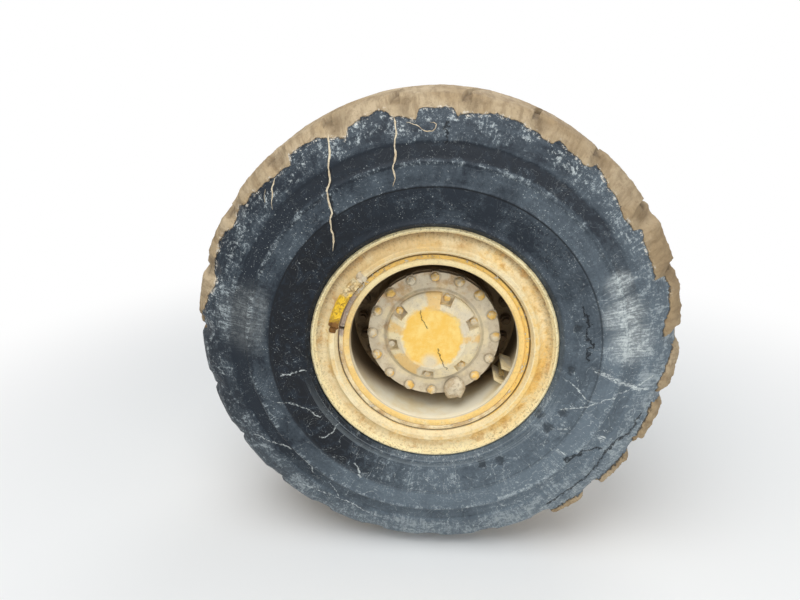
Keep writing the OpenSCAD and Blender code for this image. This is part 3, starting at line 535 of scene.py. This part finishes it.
def cover_material():
    """Clean yellow centre, pale mud on the rim and in the pockets, a few cracks; the pocket floors and the
    wedges between the pockets carry painted shade.
    """
    s = Shade("cover_paint")
    cloud = s.noise(20, 6, 0.75)
    grit = s.noise(120, 6, 0.8)
    ragged = s.plus(s.radius, s.swing(s.noise(13, 5, 0.7), 0.075), s.times(s.z, -0.06), s.times(s.x, 0.03))
    film = s.most(s.step(ragged, 0.093, 0.111), s.times(s.spot(*COVER_LUMP), 0.9))
    sway = s.swing(s.noise(22, 5, 0.7), 0.05)
    # Orange wedges between the pockets: painted shade of the sloped walls
    bare = s.most(*[s.arc(clock, half, 5.0, sway) for clock, half in SHADED_FACET_WEDGES])
    bare = s.times(bare, s.window(s.radius, 0.106, 0.160, 0.010), s.step(cloud, 0.30, 0.50))
    mud = s.mix(s.step(s.noise(11, 5, 0.65), 0.38, 0.62), CREAM_PALE, MUD_PALE)
    mud = s.over(mud, MUD, s.step(cloud, 0.50, 0.68), 0.30)
    paint = s.mix(s.step(cloud, 0.40, 0.66), COVER_YELLOW, COVER_BRIGHT)
    colour = s.mix(film, paint, mud)
    colour = s.over(colour, FACET_SHADE_ORANGE, bare, 0.75)
    # Pocket floors a little darker as painted shade
    colour = s.over(colour, MUD_DARK, s.step(s.y, *POCKET_FLOOR), 0.25)
    crack = s.step(s.near(s.bent(0.026, 70), COVER_CRACKS), 0.0024, 0.0008)
    colour = s.over(colour, MUD_DEEP, crack, 0.75)
    colour = s.over(colour, MUD_DEEP, s.step(grit, 0.55, 0.68), s.plus(s.times(film, 0.35), 0.06))
    height = s.plus(s.times(film, s.plus(s.times(cloud, 0.9), 0.7)), s.times(grit, 0.5), s.times(crack, -0.8))
    return s.finish(colour, s.plus(s.times(film, 0.2), 0.42), s.bump(height, 0.0022), specular=0.35)


def key_material():
    """Bright yellow block, chipped; mud on its upper part, rust at its lower end."""
    s = Shade("key_paint")
    chips = s.step(s.noise(70, 6, 0.8), 0.50, 0.60)
    sway = s.swing(s.noise(38, 5, 0.7), 0.05)
    colour = s.mix(s.times(chips, 0.6), YELLOW_BRIGHT, OCHRE)
    high = s.step(s.plus(s.z, sway), 0.170, 0.185)
    caked = s.mix(s.step(s.noise(60, 5, 0.7), 0.42, 0.6), LOCK_TAN, CREAM_PALE)
    colour = s.over(colour, caked, high, 0.85)
    low = s.step(s.plus(s.z, sway), 0.098, 0.080)
    colour = s.over(colour, RUST, low, 0.9)
    cracks = s.thread(s.noise(34, 3, 0.6, warp=1.0), 0.015)
    colour = s.over(colour, RUST, cracks, 0.6)
    height = s.plus(s.noise(80, 6, 0.75), s.times(chips, -0.6))
    return s.finish(colour, 0.5, s.bump(height, 0.0025), specular=0.4)


def lock_material():
    """Lock ring: tan mud with white flakes, bare grey-pink steel beside the key."""
    s = Shade("lock_ring_paint")
    cloud = s.noise(28, 6, 0.75)
    colour = s.mix(s.step(s.noise(10, 5, 0.65), 0.36, 0.62), LOCK_TAN, CREAM_PALE)
    colour = s.over(colour, YELLOW, s.step(s.plus(s.z, s.times(s.x, 0.8)), -0.10, 0.08))
    colour = s.over(colour, OCHRE, s.step(cloud, 0.50, 0.68), 0.4)
    # The lock ring darkens towards the gap to the band
    colour = s.over(colour, MUD_DEEP, s.step(s.radius, *LOCK_EDGE), 0.8)
    bare = s.times(s.arc(*LOCK_BARE), s.step(cloud, 0.30, 0.42))
    colour = s.over(colour, BARE_STEEL, bare, 0.85)
    crusted = s.times(s.arc(*LOCK_CRUST), 0.07)
    flakes = s.step(s.plus(s.noise(75, 5, 0.75), crusted), 0.56, 0.62)
    colour = s.over(colour, MUD_WHITE, flakes, 0.8)
    colour = s.over(colour, MUD_DEEP, s.step(s.noise(120, 5, 0.75), 0.58, 0.68), 0.6)
    return s.finish(colour, 0.6, s.bump(s.plus(cloud, flakes), 0.0026), specular=0.3)


def metal_material(name, base, rough, metallic, stain=MUD_DARK):
    s = Shade(name)
    fine = s.noise(90, 5, 0.6)
    patch = s.step(s.noise(14, 5, 0.65), 0.45, 0.7)
    colour = s.mix(s.times(patch, 0.5), base, stain)
    return s.finish(colour, s.plus(s.times(fine, 0.25), rough), s.bump(fine, 0.0008), metallic=metallic)


def mud_material():
    s = Shade("dried_mud")
    tone = s.mix(s.step(s.noise(40, 5, 0.7), 0.36, 0.60), MUD_LIGHT, MUD_PALE)
    tone = s.over(tone, MUD_DARK, s.step(s.noise(130, 5, 0.7), 0.52, 0.66), 0.5)
    return s.finish(tone, 0.85, s.bump(s.noise(70, 6, 0.75), 0.003), specular=0.2)


materials = {
    "rim_paint": rim_material(),
    "lock_ring_steel": lock_material(),
    "key_paint": key_material(),
    "carrier_paint": carrier_material(),
    "cover_paint": cover_material(),
    "tyre": rubber_material(),
}
for name, *look in (
        ("inner_paint", MUD_DARK, MUD, 0.4, 0.3, DARK_BROWN),
        ("guard_paint", MUD_PALE, CREAM_PALE, 0.3, 0.12),
        ("hub_casting", MUD_DARK, MUD, 0.4, 0.3, DARK_BROWN),
        ("bolt_mud", YELLOW, MUD_PALE, 0.5, 0.25),
        ("axle_paint", YELLOW_DEEP, MUD, 0.5, 0.4)):
    materials[name] = paint_material(name, *look)
for name, *look in (
        ("muddy_steel", MUD_DARK, 0.7, 0.1, DARK_BROWN),
        ("machined_steel", STEEL, 0.3, 0.9),
        ("valve_brass", BRASS, 0.5, 0.6)):
    materials[name] = metal_material(name, *look)
dried_mud = mud_material()
capped_mud = paint_material("capped_mud", YELLOW, MUD_PALE, 0.55, 0.2)

slot_of = {part["node"]: part["material_slot"] for part in frame["record"]["subparts"]}
for name, part in nodes.items():
    part.data.materials.clear()
    part.data.materials.append(materials[slot_of[name]])


def add_mesh(name, points, faces, material):
    mesh = bpy.data.meshes.new(name)
    mesh.from_pydata([tuple(p) for p in points], [], [tuple(f) for f in faces])
    mesh.update()
    mesh.polygons.foreach_set("use_smooth", [True] * len(mesh.polygons))
    mesh.materials.append(material)
    piece = bpy.data.objects.new(name, mesh)
    bpy.context.scene.collection.objects.link(piece)
    return piece


# Tyre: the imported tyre's own sizes in millimetres, with its edges rounded
TREAD_R = 790.0
TREAD_EDGE_R = 770.0
TREAD_HALF = 290.0
# The crown lies this much lower at this distance from the middle plane
CROWN_DROP = 16
CROWN_HALF = 255.0
SHOULDER_R = 738.0
SHOULDER_HALF = 326.0
TYRE_HALF = 375.0
BULGE_R = 545.0
SEAT_R = 317.8
RIM_HALF = RIM_W / MM / 2
BEAD_FACE = RIM_HALF - 45.3
CURL_R = 42.5
CURL_CENTRE = (351.7, RIM_HALF - 3.0)
LUGS = 23
LUG_START = math.radians(6)
GROOVE_DEPTH = 27.0
GROOVE_HALF = 11.0
MOUTH_HALF = 20.0
GROOVE_SWEEP = 190.0
GROOVE_TURN_MM = 0.52 * GROOVE_SWEEP
# Share of the tread's half width, share of the sweep
GROOVE_PATH = ((-1.26, -0.53), (-1, -0.52), (-0.8, -0.5), (-0.4, -0.38), (-0.14, -0.15),
               (0.14, 0.15), (0.4, 0.38), (0.8, 0.5), (1, 0.52), (1.26, 0.53))
# Distance from the middle plane, radius of the groove's floor
GROOVE_FLOOR = ((-365, 722), (-290, 743), (-174, 761), (174, 761), (290, 743), (365, 722))
HOLLOW_R = 60.0
HOLLOW_DEPTH = 20.0
HOLLOW_SHIFT = 22.0
HOLLOW_FULL = 26.0
PITCH = 2 * math.pi / LUGS
# The liner inside, as radius and distance from the middle plane
LINER = ((311.8, 221.7), (350, 245), (390, 279.7), (460, 318), (545, 341), (640, 322), (700.8, 290),
         (728, 174), (731, 60))

# Columns of points over one pitch; on the plain rows only every fifth is kept
COLUMNS = 45
THIN = 5
# Points across a groove, from its middle to its edge, and steps from its edge over the lug
GROOVE_SHARES = (0, 0.45, 0.86, 1.0)
LUG_STEPS = (2.5, 6.5, 12)
GROOVE_COLUMNS = (0, 1, 2, COLUMNS - 2, COLUMNS - 1)

# Mud: how far it fades over the rubber, its limit on the inboard shoulder, half width of the tread's top
MUD_FADE = 13.0
MUD_BACK_R = 742
MUD_TOP_HALF = 262
# Clock angle, radius down to which mud hangs over the shoulder; it hangs lower below the grooves.
# A radius of 800 leaves bare rubber between two lumps.
MUD_EDGE = (
    (0, 730), (3.4, 726), (4.4, 711), (11, 726), (13, 733), (20, 722), (27, 710), (28, 725), (35.3, 707),
    (37.4, 714), (38.4, 729), (44, 707), (51, 692), (55.6, 692), (56.4, 714), (59.7, 700), (69.6, 697),
    (70.4, 739), (76, 728), (83, 704), (85.2, 702), (85.8, 800), (87.5, 800), (88.1, 741), (97, 716),
    (100.8, 724), (101.4, 800), (103, 800), (103.6, 722), (116.4, 731), (117, 800), (119.4, 800),
    (120, 737), (131, 738), (131.6, 800), (135.4, 800), (136, 740), (145.6, 741), (146.2, 800), (270, 800),
    (274, 758), (283, 727), (287.6, 709), (288.6, 733), (299, 735), (302.4, 723), (306.5, 744), (308.6, 723),
    (311, 729), (317, 717), (323.4, 710), (324.2, 733), (332.2, 731), (333.2, 719), (338.4, 694),
    (339.4, 722), (346.3, 742), (348.6, 732), (349.4, 717), (355, 703), (355.8, 729), (360, 730))
# Between these clock angles the tread's top has only a thin film
FILM_CLOCKS = (152, 272)

# Lumps that cling to the lugs' ends: first and last clock angle, thickness
LUMPS = ((38.5, 55.5, 4), (57, 69.5, 7), (70.5, 85.3, 9), (88, 101, 11), (103.5, 116.5, 12), (120, 131, 13),
         (136, 145.7, 13), (273, 287, 4), (289, 302, 4), (308, 323, 3), (339.5, 355, 3))

# How far mud fills the hollows at the grooves' mouths, by clock angle
CHOKED_CLOCKS = (0, 60, 100, 130, 260, 285, 360)
CHOKED_SHARE = (0, 0, 0.35, 0.65, 0.65, 0, 0)

# Runs of mud down the sidewall: x and z seen from outboard, and the width
MUD_RUNS = (
    ("drip_a", ((-310, 655), (-306, 610), (-309, 566), (-304, 530), (-314, 501), (-302, 437), (-308, 405),
                (-300, 360), (-305, 320)), 8),
    ("drip_b", ((-123, 706), (-115, 669), (-120, 630), (-116, 604), (-123, 568), (-117, 540),
                (-123, 517)), 7),
    ("drip_c", ((-474, 532), (-482, 500), (-480, 479), (-484, 460), (-479, 444)), 6),
    ("drip_d", ((-502, 500), (-506, 480), (-503, 461)), 4),
    ("curl", ((-87, 690), (-72, 688), (-59, 683), (-44, 673), (-29, 666), (-15, 668), (-6, 677), (-4, 686),
              (-10, 692), (-21, 692)), 3.5))
RUN_HEIGHT = 1.4


def ramp(value, low, high):
    share = np.clip((value - low) / (high - low), 0, 1)
    return share * share * (3 - 2 * share)


def side_half(r):
    """Half width of the sidewall at a radius, with its moulded rings."""
    curve = TYRE_HALF - (TYRE_HALF - SHOULDER_HALF) / (SHOULDER_R - BULGE_R) ** 2 * (r - BULGE_R) ** 2
    line = 3.5 * np.exp(-((r - 520) / 3.0) ** 2)
    ridge = 4.0 * np.exp(-((r - 588) / 6.0) ** 2)
    sunk = -4.0 * ramp(r, 590, 597) * (1 - ramp(r, 636, 648))
    return curve + line + ridge + sunk


def outer_rows():
    """Radius and half width from the bead's heel to the middle of the tread, sidewall rows first."""
    curl = [(CURL_CENTRE[0] + CURL_R * math.sin(a), CURL_CENTRE[1] - CURL_R * math.cos(a))
            for a in np.radians([5, 25, 45, 65, 80])]
    bead = [(SEAT_R, BEAD_FACE), (336, BEAD_FACE)] + curl
    # Rib that guards the flange's lip
    rib = [(396.5, 344), (398, 347), (400.5, 350), (404, 354.5), (407.5, 359.5), (411, 361), (415, 359),
           (421, 356.5)]
    radii = np.concatenate([np.arange(428, 508, 9), np.arange(511, 530, 2.5), np.arange(534, 578, 9),
                            np.arange(580, 600, 2.5), np.arange(604, 634, 7), np.arange(637, 650, 3.5),
                            np.arange(657, 682, 8)])
    side = [(r, float(side_half(r))) for r in radii]
    shoulder = [(r, float(side_half(r))) for r in (688, 695, 702, 709, 716, 722, 728)]
    shoulder += [(733, 328.6), (738, 325), (743, 320), (748.5, 314), (754, 308), (759.5, 301.8), (764, 296.5),
                 (767.6, 291.5), (770.3, 285.5), (771.6, 278.5)]
    crown = [(TREAD_R - CROWN_DROP * (w / CROWN_HALF) ** 2, w)
             for w in (269, 257, 242, 222, 200, 175, 150, 120, 90, 60, 30, 0)]
    return bead + rib + side, shoulder + crown


def carve_hollow(x, y, w):
    """Moves points out of the cylinder that a groove's mouth cuts into the shoulder at negative w."""
    slope = math.atan2(TREAD_EDGE_R - SHOULDER_R, SHOULDER_HALF - TREAD_HALF)
    along, up = np.array([math.sin(slope), math.cos(slope)]), np.array([math.cos(slope), -math.sin(slope)])
    dx = x - (TREAD_EDGE_R + SHOULDER_R) / 2
    dw = w + (TREAD_HALF + SHOULDER_HALF) / 2
    height = dx * up[0] + dw * up[1]
    reach = np.abs(dx * along[0] + dw * along[1])
    side = y - (HOLLOW_SHIFT - GROOVE_TURN_MM)
    bottom = HOLLOW_R - HOLLOW_DEPTH - np.sqrt(np.maximum(HOLLOW_R ** 2 - side ** 2, 0))
    over = np.where((np.abs(side) < HOLLOW_R) & (reach < 100), np.maximum(height - bottom, 0), 0)
    return x - over * up[0], w - over * up[1], over


def tyre_section():
    """Closed section as rows of radius and place across, which rows lie outside, and which are fine."""
    side, tread = outer_rows()
    near = side + tread
    outer = [(r, -w) for r, w in near] + [(r, w) for r, w in near[-2::-1]]
    inner = list(LINER) + [(r, -w) for r, w in LINER[::-1]]
    row = np.arange(len(outer) + len(inner))
    is_outer = row < len(outer)
    is_fine = (row >= len(side)) & (row < len(outer) - len(side))
    return np.array(outer + inner), is_outer, is_fine


def groove_columns(section, is_outer):
    """A groove's middle at each row, and the angles of one pitch's columns, from groove to groove."""
    r, w = section.T
    at, by = (np.array(GROOVE_PATH) * (TREAD_HALF, GROOVE_SWEEP)).T
    path = np.mean([np.interp(w + d, at, by) for d in (-14, -7, 0, 7, 14)], axis=0)
    last = is_outer.sum() - 1
    path[~is_outer] = np.linspace(path[last], path[0], len(w) - last + 1)[1:-1]
    # Only one edge flares at each end
    flare = (MOUTH_HALF - GROOVE_HALF) * ramp(np.abs(w), 232, 290)
    plus_half = GROOVE_HALF + np.where(w < 0, flare, 0)
    minus_half = GROOVE_HALF + np.where(w > 0, flare, 0)
    plus = [path + share * plus_half for share in GROOVE_SHARES]
    plus += [path + plus_half + step for step in LUG_STEPS]
    minus = [path - minus_half - step for step in LUG_STEPS[::-1]]
    minus += [path - share * minus_half for share in GROOVE_SHARES[:0:-1]]
    radius = np.maximum(r, 720)
    starts = [np.arcsin(y / radius) for y in plus]
    ends = [PITCH + np.arcsin(y / radius) for y in minus]
    between = COLUMNS - len(starts) - len(ends)
    middles = [starts[-1] + (ends[0] - starts[-1]) * (k + 1) / (between + 1) for k in range(between)]
    return path, np.array(starts + middles + ends)


def carve_pitch(section, is_outer):
    """One pitch with its groove alone, and with the hollows of this lug and the next as well.

    Each is radius, place across and angle by column and row. The last result is how deep each point
    lies in a groove or a hollow, as a share.
    """
    r, w = section.T
    path, angles = groove_columns(section, is_outer)
    floor = np.interp(w, *np.array(GROOVE_FLOOR, float).T)
    in_groove = np.isin(np.arange(COLUMNS), GROOVE_COLUMNS)[:, None] & is_outer
    rr = np.where(in_groove, np.minimum(r, floor / np.cos(path / TREAD_R)), r)
    ww = np.broadcast_to(w, rr.shape)
    theta = angles
    grooved = np.stack([rr, ww, theta])
    cut = np.zeros(rr.shape)
    for turn in (0, PITCH):
        for flip in (1, -1):
            x, y = rr * np.cos(theta - turn), rr * np.sin(theta - turn)
            x, level, over = carve_hollow(x, y * flip, ww * flip)
            keep = is_outer & (over > 0)
            ww = np.where(keep, level * flip, ww)
            rr = np.where(keep, np.hypot(x, y), rr)
            theta = np.where(keep, np.arctan2(y, x) + turn, theta)
            cut = np.maximum(cut, np.where(is_outer, over, 0))
    depth = np.clip((r - rr) * is_outer / GROOVE_DEPTH, 0, 1)
    return grooved, np.stack([rr, ww, theta]), np.maximum(depth, cut / HOLLOW_FULL)


def mud_level(clock, radius, w):
    """Above 0 where mud covers: the tread's top, and the outboard shoulder down to its border."""
    border = np.interp(clock, *np.array(MUD_EDGE, float).T)
    film = (clock > FILM_CLOCKS[0]) & (clock < FILM_CLOCKS[1])
    level = (radius - border) / MUD_FADE
    level = np.where(np.abs(w) < MUD_TOP_HALF, np.where(film, 0.25, 2.5), level)
    return np.where(w > MUD_TOP_HALF, (radius - MUD_BACK_R) / MUD_FADE, level)


def turn_round(section, is_outer):
    """Points in millimetres, mud and hollow depth by column and row, all the way round."""
    grooved, carved, depth = carve_pitch(section, is_outer)
    mouth = math.asin(GROOVE_TURN_MM / TREAD_EDGE_R)
    points, mud, hollow = [], [], []
    for lug in range(LUGS):
        start = LUG_START + mouth + lug * PITCH
        for k in range(COLUMNS):
            clock = math.degrees(start + float(grooved[2, k].mean())) % 360
            choked = np.interp(clock, CHOKED_CLOCKS, CHOKED_SHARE)
            radius, across, angle = carved[:, k] + choked * (grooved[:, k] - carved[:, k])
            angle = start + angle
            level = mud_level(np.degrees(angle) % 360, radius, section[:, 1])
            points.append(np.stack([radius * np.sin(angle), across, radius * np.cos(angle)], 1))
            mud.append(np.where(is_outer, level, -4.0))
            hollow.append(depth[k] * (1 - choked))
    return np.array(points), np.array(mud), np.array(hollow)


def roughen(points, mud, hollow, section, moved):
    """Gives the mud its ragged edge and thickness, and the rubber its wear, on the rows to be moved."""
    r, w = section.T
    tangent = np.roll(section, -1, axis=0) - np.roll(section, 1, axis=0)
    normal = np.stack([tangent[:, 1], -tangent[:, 0]], 1)
    normal /= np.linalg.norm(normal, axis=1, keepdims=True)
    on_tread = ramp(r, 757, 768)
    clocks = np.degrees(np.arctan2(points[:, :, 0], points[:, :, 2])) % 360
    clumps = sum(thick * ramp(clocks, first - 0.6, first + 1.2) * (1 - ramp(clocks, last - 1.2, last + 0.6))
                 for first, last, thick in LUMPS) * ramp(np.abs(w), 150, 250)
    for i in range(len(points)):
        for j in np.nonzero(moved)[0]:
            p = Vector(points[i, j]) * MM
            ragged = noise.fractal(p * 24, 0.9, 2.1, 5)
            mud[i, j] = max(-4.0, min(4.0, mud[i, j] + 0.45 * ragged))
            coat = min(max((mud[i, j] + 0.05) / 0.5, 0), 1)
            lump = noise.fractal(p * 45 + Vector((7, 3, 1)), 0.8, 2.1, 4)
            worn = noise.fractal(p * 11 + Vector((1, 5, 9)), 0.9, 2.1, 3)
            lift = coat * (2.6 + 1.3 * lump) + 1.3 * worn
            lift += coat * clumps[i, j] * (1 + 0.3 * lump) * (1 - 0.5 * hollow[i, j])
            lift -= 4.2 * on_tread[j] * (1 - hollow[i, j])
            push = Vector((p.x, 0, p.z)).normalized() * normal[j, 0] + Vector((0, 1, 0)) * normal[j, 1]
            points[i, j] += np.array(push * lift)


def thinned_faces(around, is_fine):
    """Which points are kept, and faces between them; the plain rows have every THIN-th column only."""
    rows = len(is_fine)
    kept = is_fine | (np.arange(around) % THIN == 0)[:, None]
    index = np.where(kept, np.cumsum(kept).reshape(kept.shape) - 1, -1)
    faces = []
    for j in range(rows):
        n = (j + 1) % rows
        both = is_fine[j] and is_fine[n]
        stride = 1 if both else THIN
        for i in range(0, around, stride):
            m = (i + stride) % around
            if both:
                faces.append((index[i, j], index[i, n], index[m, n], index[m, j]))
                continue
            ring = [(i + k) % around for k in range(THIN + 1)]
            first = [index[k, j] for k in ring] if is_fine[j] else [index[i, j], index[m, j]]
            second = [index[k, n] for k in ring] if is_fine[n] else [index[i, n], index[m, n]]
            faces.append(tuple(first[::-1] + second))
    return kept, faces


def tyre_skin():
    section, is_outer, is_fine = tyre_section()
    points, mud, hollow = turn_round(section, is_outer)
    roughen(points, mud, hollow, section, is_outer & is_fine)
    points[:, :, 1] += MID_Y / MM
    kept, faces = thinned_faces(len(points), is_fine)
    piece = add_mesh("tyre_skin", points[kept] * MM, faces, materials["tyre"])
    for name, values in (("mud", mud), ("hollow", hollow)):
        layer = piece.data.attributes.new(name, "FLOAT", "POINT")
        layer.data.foreach_set("value", values[kept].astype(np.float32))
    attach(piece, "wheel")
    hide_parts("tyre")


tyre_skin()


def sidewall_y(r):
    """Outboard surface of the tyre at a radius in millimetres."""
    side, tread = outer_rows()
    return MID_Y / MM - np.interp(r, *np.array(side + tread).T)


def streak(name, path, width):
    """A thin ridge of dried mud along a path on the sidewall, in millimetres."""
    fine = []
    for (x0, z0), (x1, z1) in zip(path, path[1:]):
        steps = max(2, int(math.hypot(x1 - x0, z1 - z0) / 7))
        fine += [(x0 + (x1 - x0) * k / steps, z0 + (z1 - z0) * k / steps) for k in range(steps)]
    fine.append(path[-1])
    points, faces = [], []
    for k, (x, z) in enumerate(fine):
        ahead = np.array(fine[min(k + 1, len(fine) - 1)]) - np.array(fine[max(k - 1, 0)])
        ahead /= np.linalg.norm(ahead)
        out = np.array([ahead[1], -ahead[0]])
        sway = noise.noise(Vector((x, z, 0)) * 0.06) * 3.0
        taper = min(1, (len(fine) - k) / 6, (k + 1) / 3)
        wide = width * (0.75 + 0.6 * noise.noise(Vector((x, z, 9)) * 0.09)) * taper
        for across, up in ((-0.5, -0.6), (-0.34, 0.7), (0, 1.0), (0.34, 0.7), (0.5, -0.6)):
            px, pz = np.array([x, z]) + out * (across * wide + sway)
            y = sidewall_y(math.hypot(px, pz)) - up * RUN_HEIGHT
            points.append((px * MM, y * MM, pz * MM))
    for k in range(len(fine) - 1):
        for m in range(4):
            a = k * 5 + m
            faces.append((a, a + 1, a + 6, a + 5))
    piece = add_mesh(name, points, faces, dried_mud)
    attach(piece, "wheel")


for name, path, width in MUD_RUNS:
    streak(name, path, width)


def mud_cap(place, radius, height, seed):
    """A rounded lump of mud over a bolt's head, with its flat side inboard."""
    rings, segments = 5, 18
    points, faces = [], []
    for ring in range(rings + 1):
        rise = ring / rings
        for k in range(segments):
            turn = 2 * math.pi * k / segments
            spread = radius * math.cos(rise * math.pi / 2 * 0.92)
            p = Vector((math.cos(turn), math.sin(turn), rise))
            rough = 1 + 0.22 * noise.fractal(p * 1.7 + Vector((seed, 0, 0)), 0.9, 2.1, 4)
            swell = 1 + 0.25 * noise.noise(p * 2 + Vector((0, seed, 0)))
            tall = height * math.sin(rise * math.pi / 2) * swell
            points.append(((place[0] + spread * rough * p.x) * MM, (place[1] - tall) * MM,
                           (place[2] + spread * rough * p.y) * MM))
    for ring in range(rings):
        for k in range(segments):
            n = (k + 1) % segments
            a, b = ring * segments, (ring + 1) * segments
            faces.append((a + k, a + n, b + n, b + k))
    faces.append(tuple(rings * segments + k for k in range(segments)))
    return points, faces


def mud_caps(name, places, material):
    points, faces = [], []
    for seed, (clock, radius, depth, size, height) in enumerate(places):
        turn = math.radians(clock)
        place = (radius * math.sin(turn), LIP_Y / MM + depth, radius * math.cos(turn))
        more, rest = mud_cap(place, size, height, seed * 3.7)
        faces += [tuple(len(points) + k for k in face) for face in rest]
        points += more
    piece = add_mesh(name, points, faces, material)
    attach(piece, "wheel")


# Clock angle, radius, depth of the foot, radius and height of each lump, in degrees and millimetres
bolt_places = [(CARRIER_START + CARRIER_PITCH * k, CARRIER_CIRCLE, CARRIER_D + 0.5, 14 + (k * 7 % 5) * 0.7,
                16 + (k * 5 % 3)) for k in range(CARRIER_PLACES) if k != PLUG_PLACE]
mud_caps("bolt_mud_caps", bolt_places, capped_mud)
mud_caps("plug_mud_cap", [(PLUG_CLOCK, 209, CARRIER_D - 6, 38, 21)], dried_mud)
pair_places = [(COVER_PAIR_CLOCK + 120 * k + side * COVER_PAIR_HALF, COVER_CIRCLE, CARRIER_D - 3.5,
                12.5, 11.5) for k in range(3) for side in (-1, 1)]
mud_caps("cover_bolt_mud", pair_places, capped_mud)
# The slot's ends beside the key are choked: dried mud above, rust below
mud_caps("slot_mud", [(316, 322, 11, 18, 9), (313.5, 318, 6, 10, 8)], dried_mud)
mud_caps("slot_rust", [(279.6, 325, 11, 12, 7), (281.5, 316, 9, 8, 8)], materials["key_paint"])


def add_stage():
    """Pale floor that keeps the shadow and turns to the white of the background further out."""
    bpy.ops.mesh.primitive_plane_add(size=60, location=(0, 0, FLOOR_Z))
    floor = bpy.context.object
    floor.name = "floor"
    s = Shade("floor")
    s.fill(s.shader, {"Base Color": FLOOR_GREY, "Roughness": 0.95, "Specular IOR Level": 0.1})
    far = s.times(s.step(s.length(s.x, s.y), *FLOOR_FADE), s.background_rays())
    white = s.add("ShaderNodeEmission", {"Color": WHITE, "Strength": 1.0})
    blend = s.add("ShaderNodeMixShader", {0: far, 1: s.shader.outputs[0], 2: white.outputs[0]})
    s.link(blend.outputs[0], s.tree.nodes["Material Output"].inputs["Surface"])
    floor.data.materials.append(s.material)


def add_world():
    """White where the background shows, and the light of the open sky on the object."""
    world = bpy.data.worlds.new("studio")
    bpy.context.scene.world = world
    world.use_nodes = True
    sky = Nodes(world.node_tree)
    sky.tree.nodes.clear()
    dim = sky.add("ShaderNodeBackground", {"Color": SKY_COLOUR, "Strength": SKY_STRENGTH})
    white = sky.add("ShaderNodeBackground", {"Color": WHITE, "Strength": 1.0})
    blend = sky.add("ShaderNodeMixShader", {0: sky.background_rays(), 1: dim.outputs[0], 2: white.outputs[0]})
    sky.add("ShaderNodeOutputWorld", {"Surface": blend.outputs[0]})


def aim(name, data, place, ahead):
    """A lamp or camera at a place, looking along ahead."""
    holder = bpy.data.objects.new(name, data)
    holder.location = place
    holder.rotation_euler = ahead.to_track_quat("-Z", "Y").to_euler()
    bpy.context.scene.collection.objects.link(holder)
    return holder


def add_area(name, place, target, size, power):
    lamp = bpy.data.lights.new(name, "AREA")
    lamp.shape = "DISK"
    lamp.size = size
    lamp.energy = power
    aim(name, lamp, place, Vector(target) - Vector(place))


def add_camera():
    camera = bpy.data.cameras.new("camera")
    camera.sensor_width = SENSOR_MM
    camera.lens = SENSOR_MM * FOCAL_PX / WIDTH_PX
    yaw, pitch = CAMERA_YAW, CAMERA_PITCH
    ahead = Vector((math.sin(yaw) * math.cos(pitch), math.cos(yaw) * math.cos(pitch), math.sin(pitch)))
    bpy.context.scene.camera = aim("camera", camera, CAMERA_PLACE, ahead)


add_stage()
add_world()
add_area("sky", (-0.8, -2.6, 4.2), (0, -0.5, 0), 4.0, 170)
add_area("front", (2.2, -4.4, 1.2), (0, -0.6, 0), 3.0, 60)
add_area("back", (1.5, 4.0, 2.5), (0, 0, 0), 3.0, 70)
add_camera()
bpy.context.scene.view_settings.view_transform = "Standard"
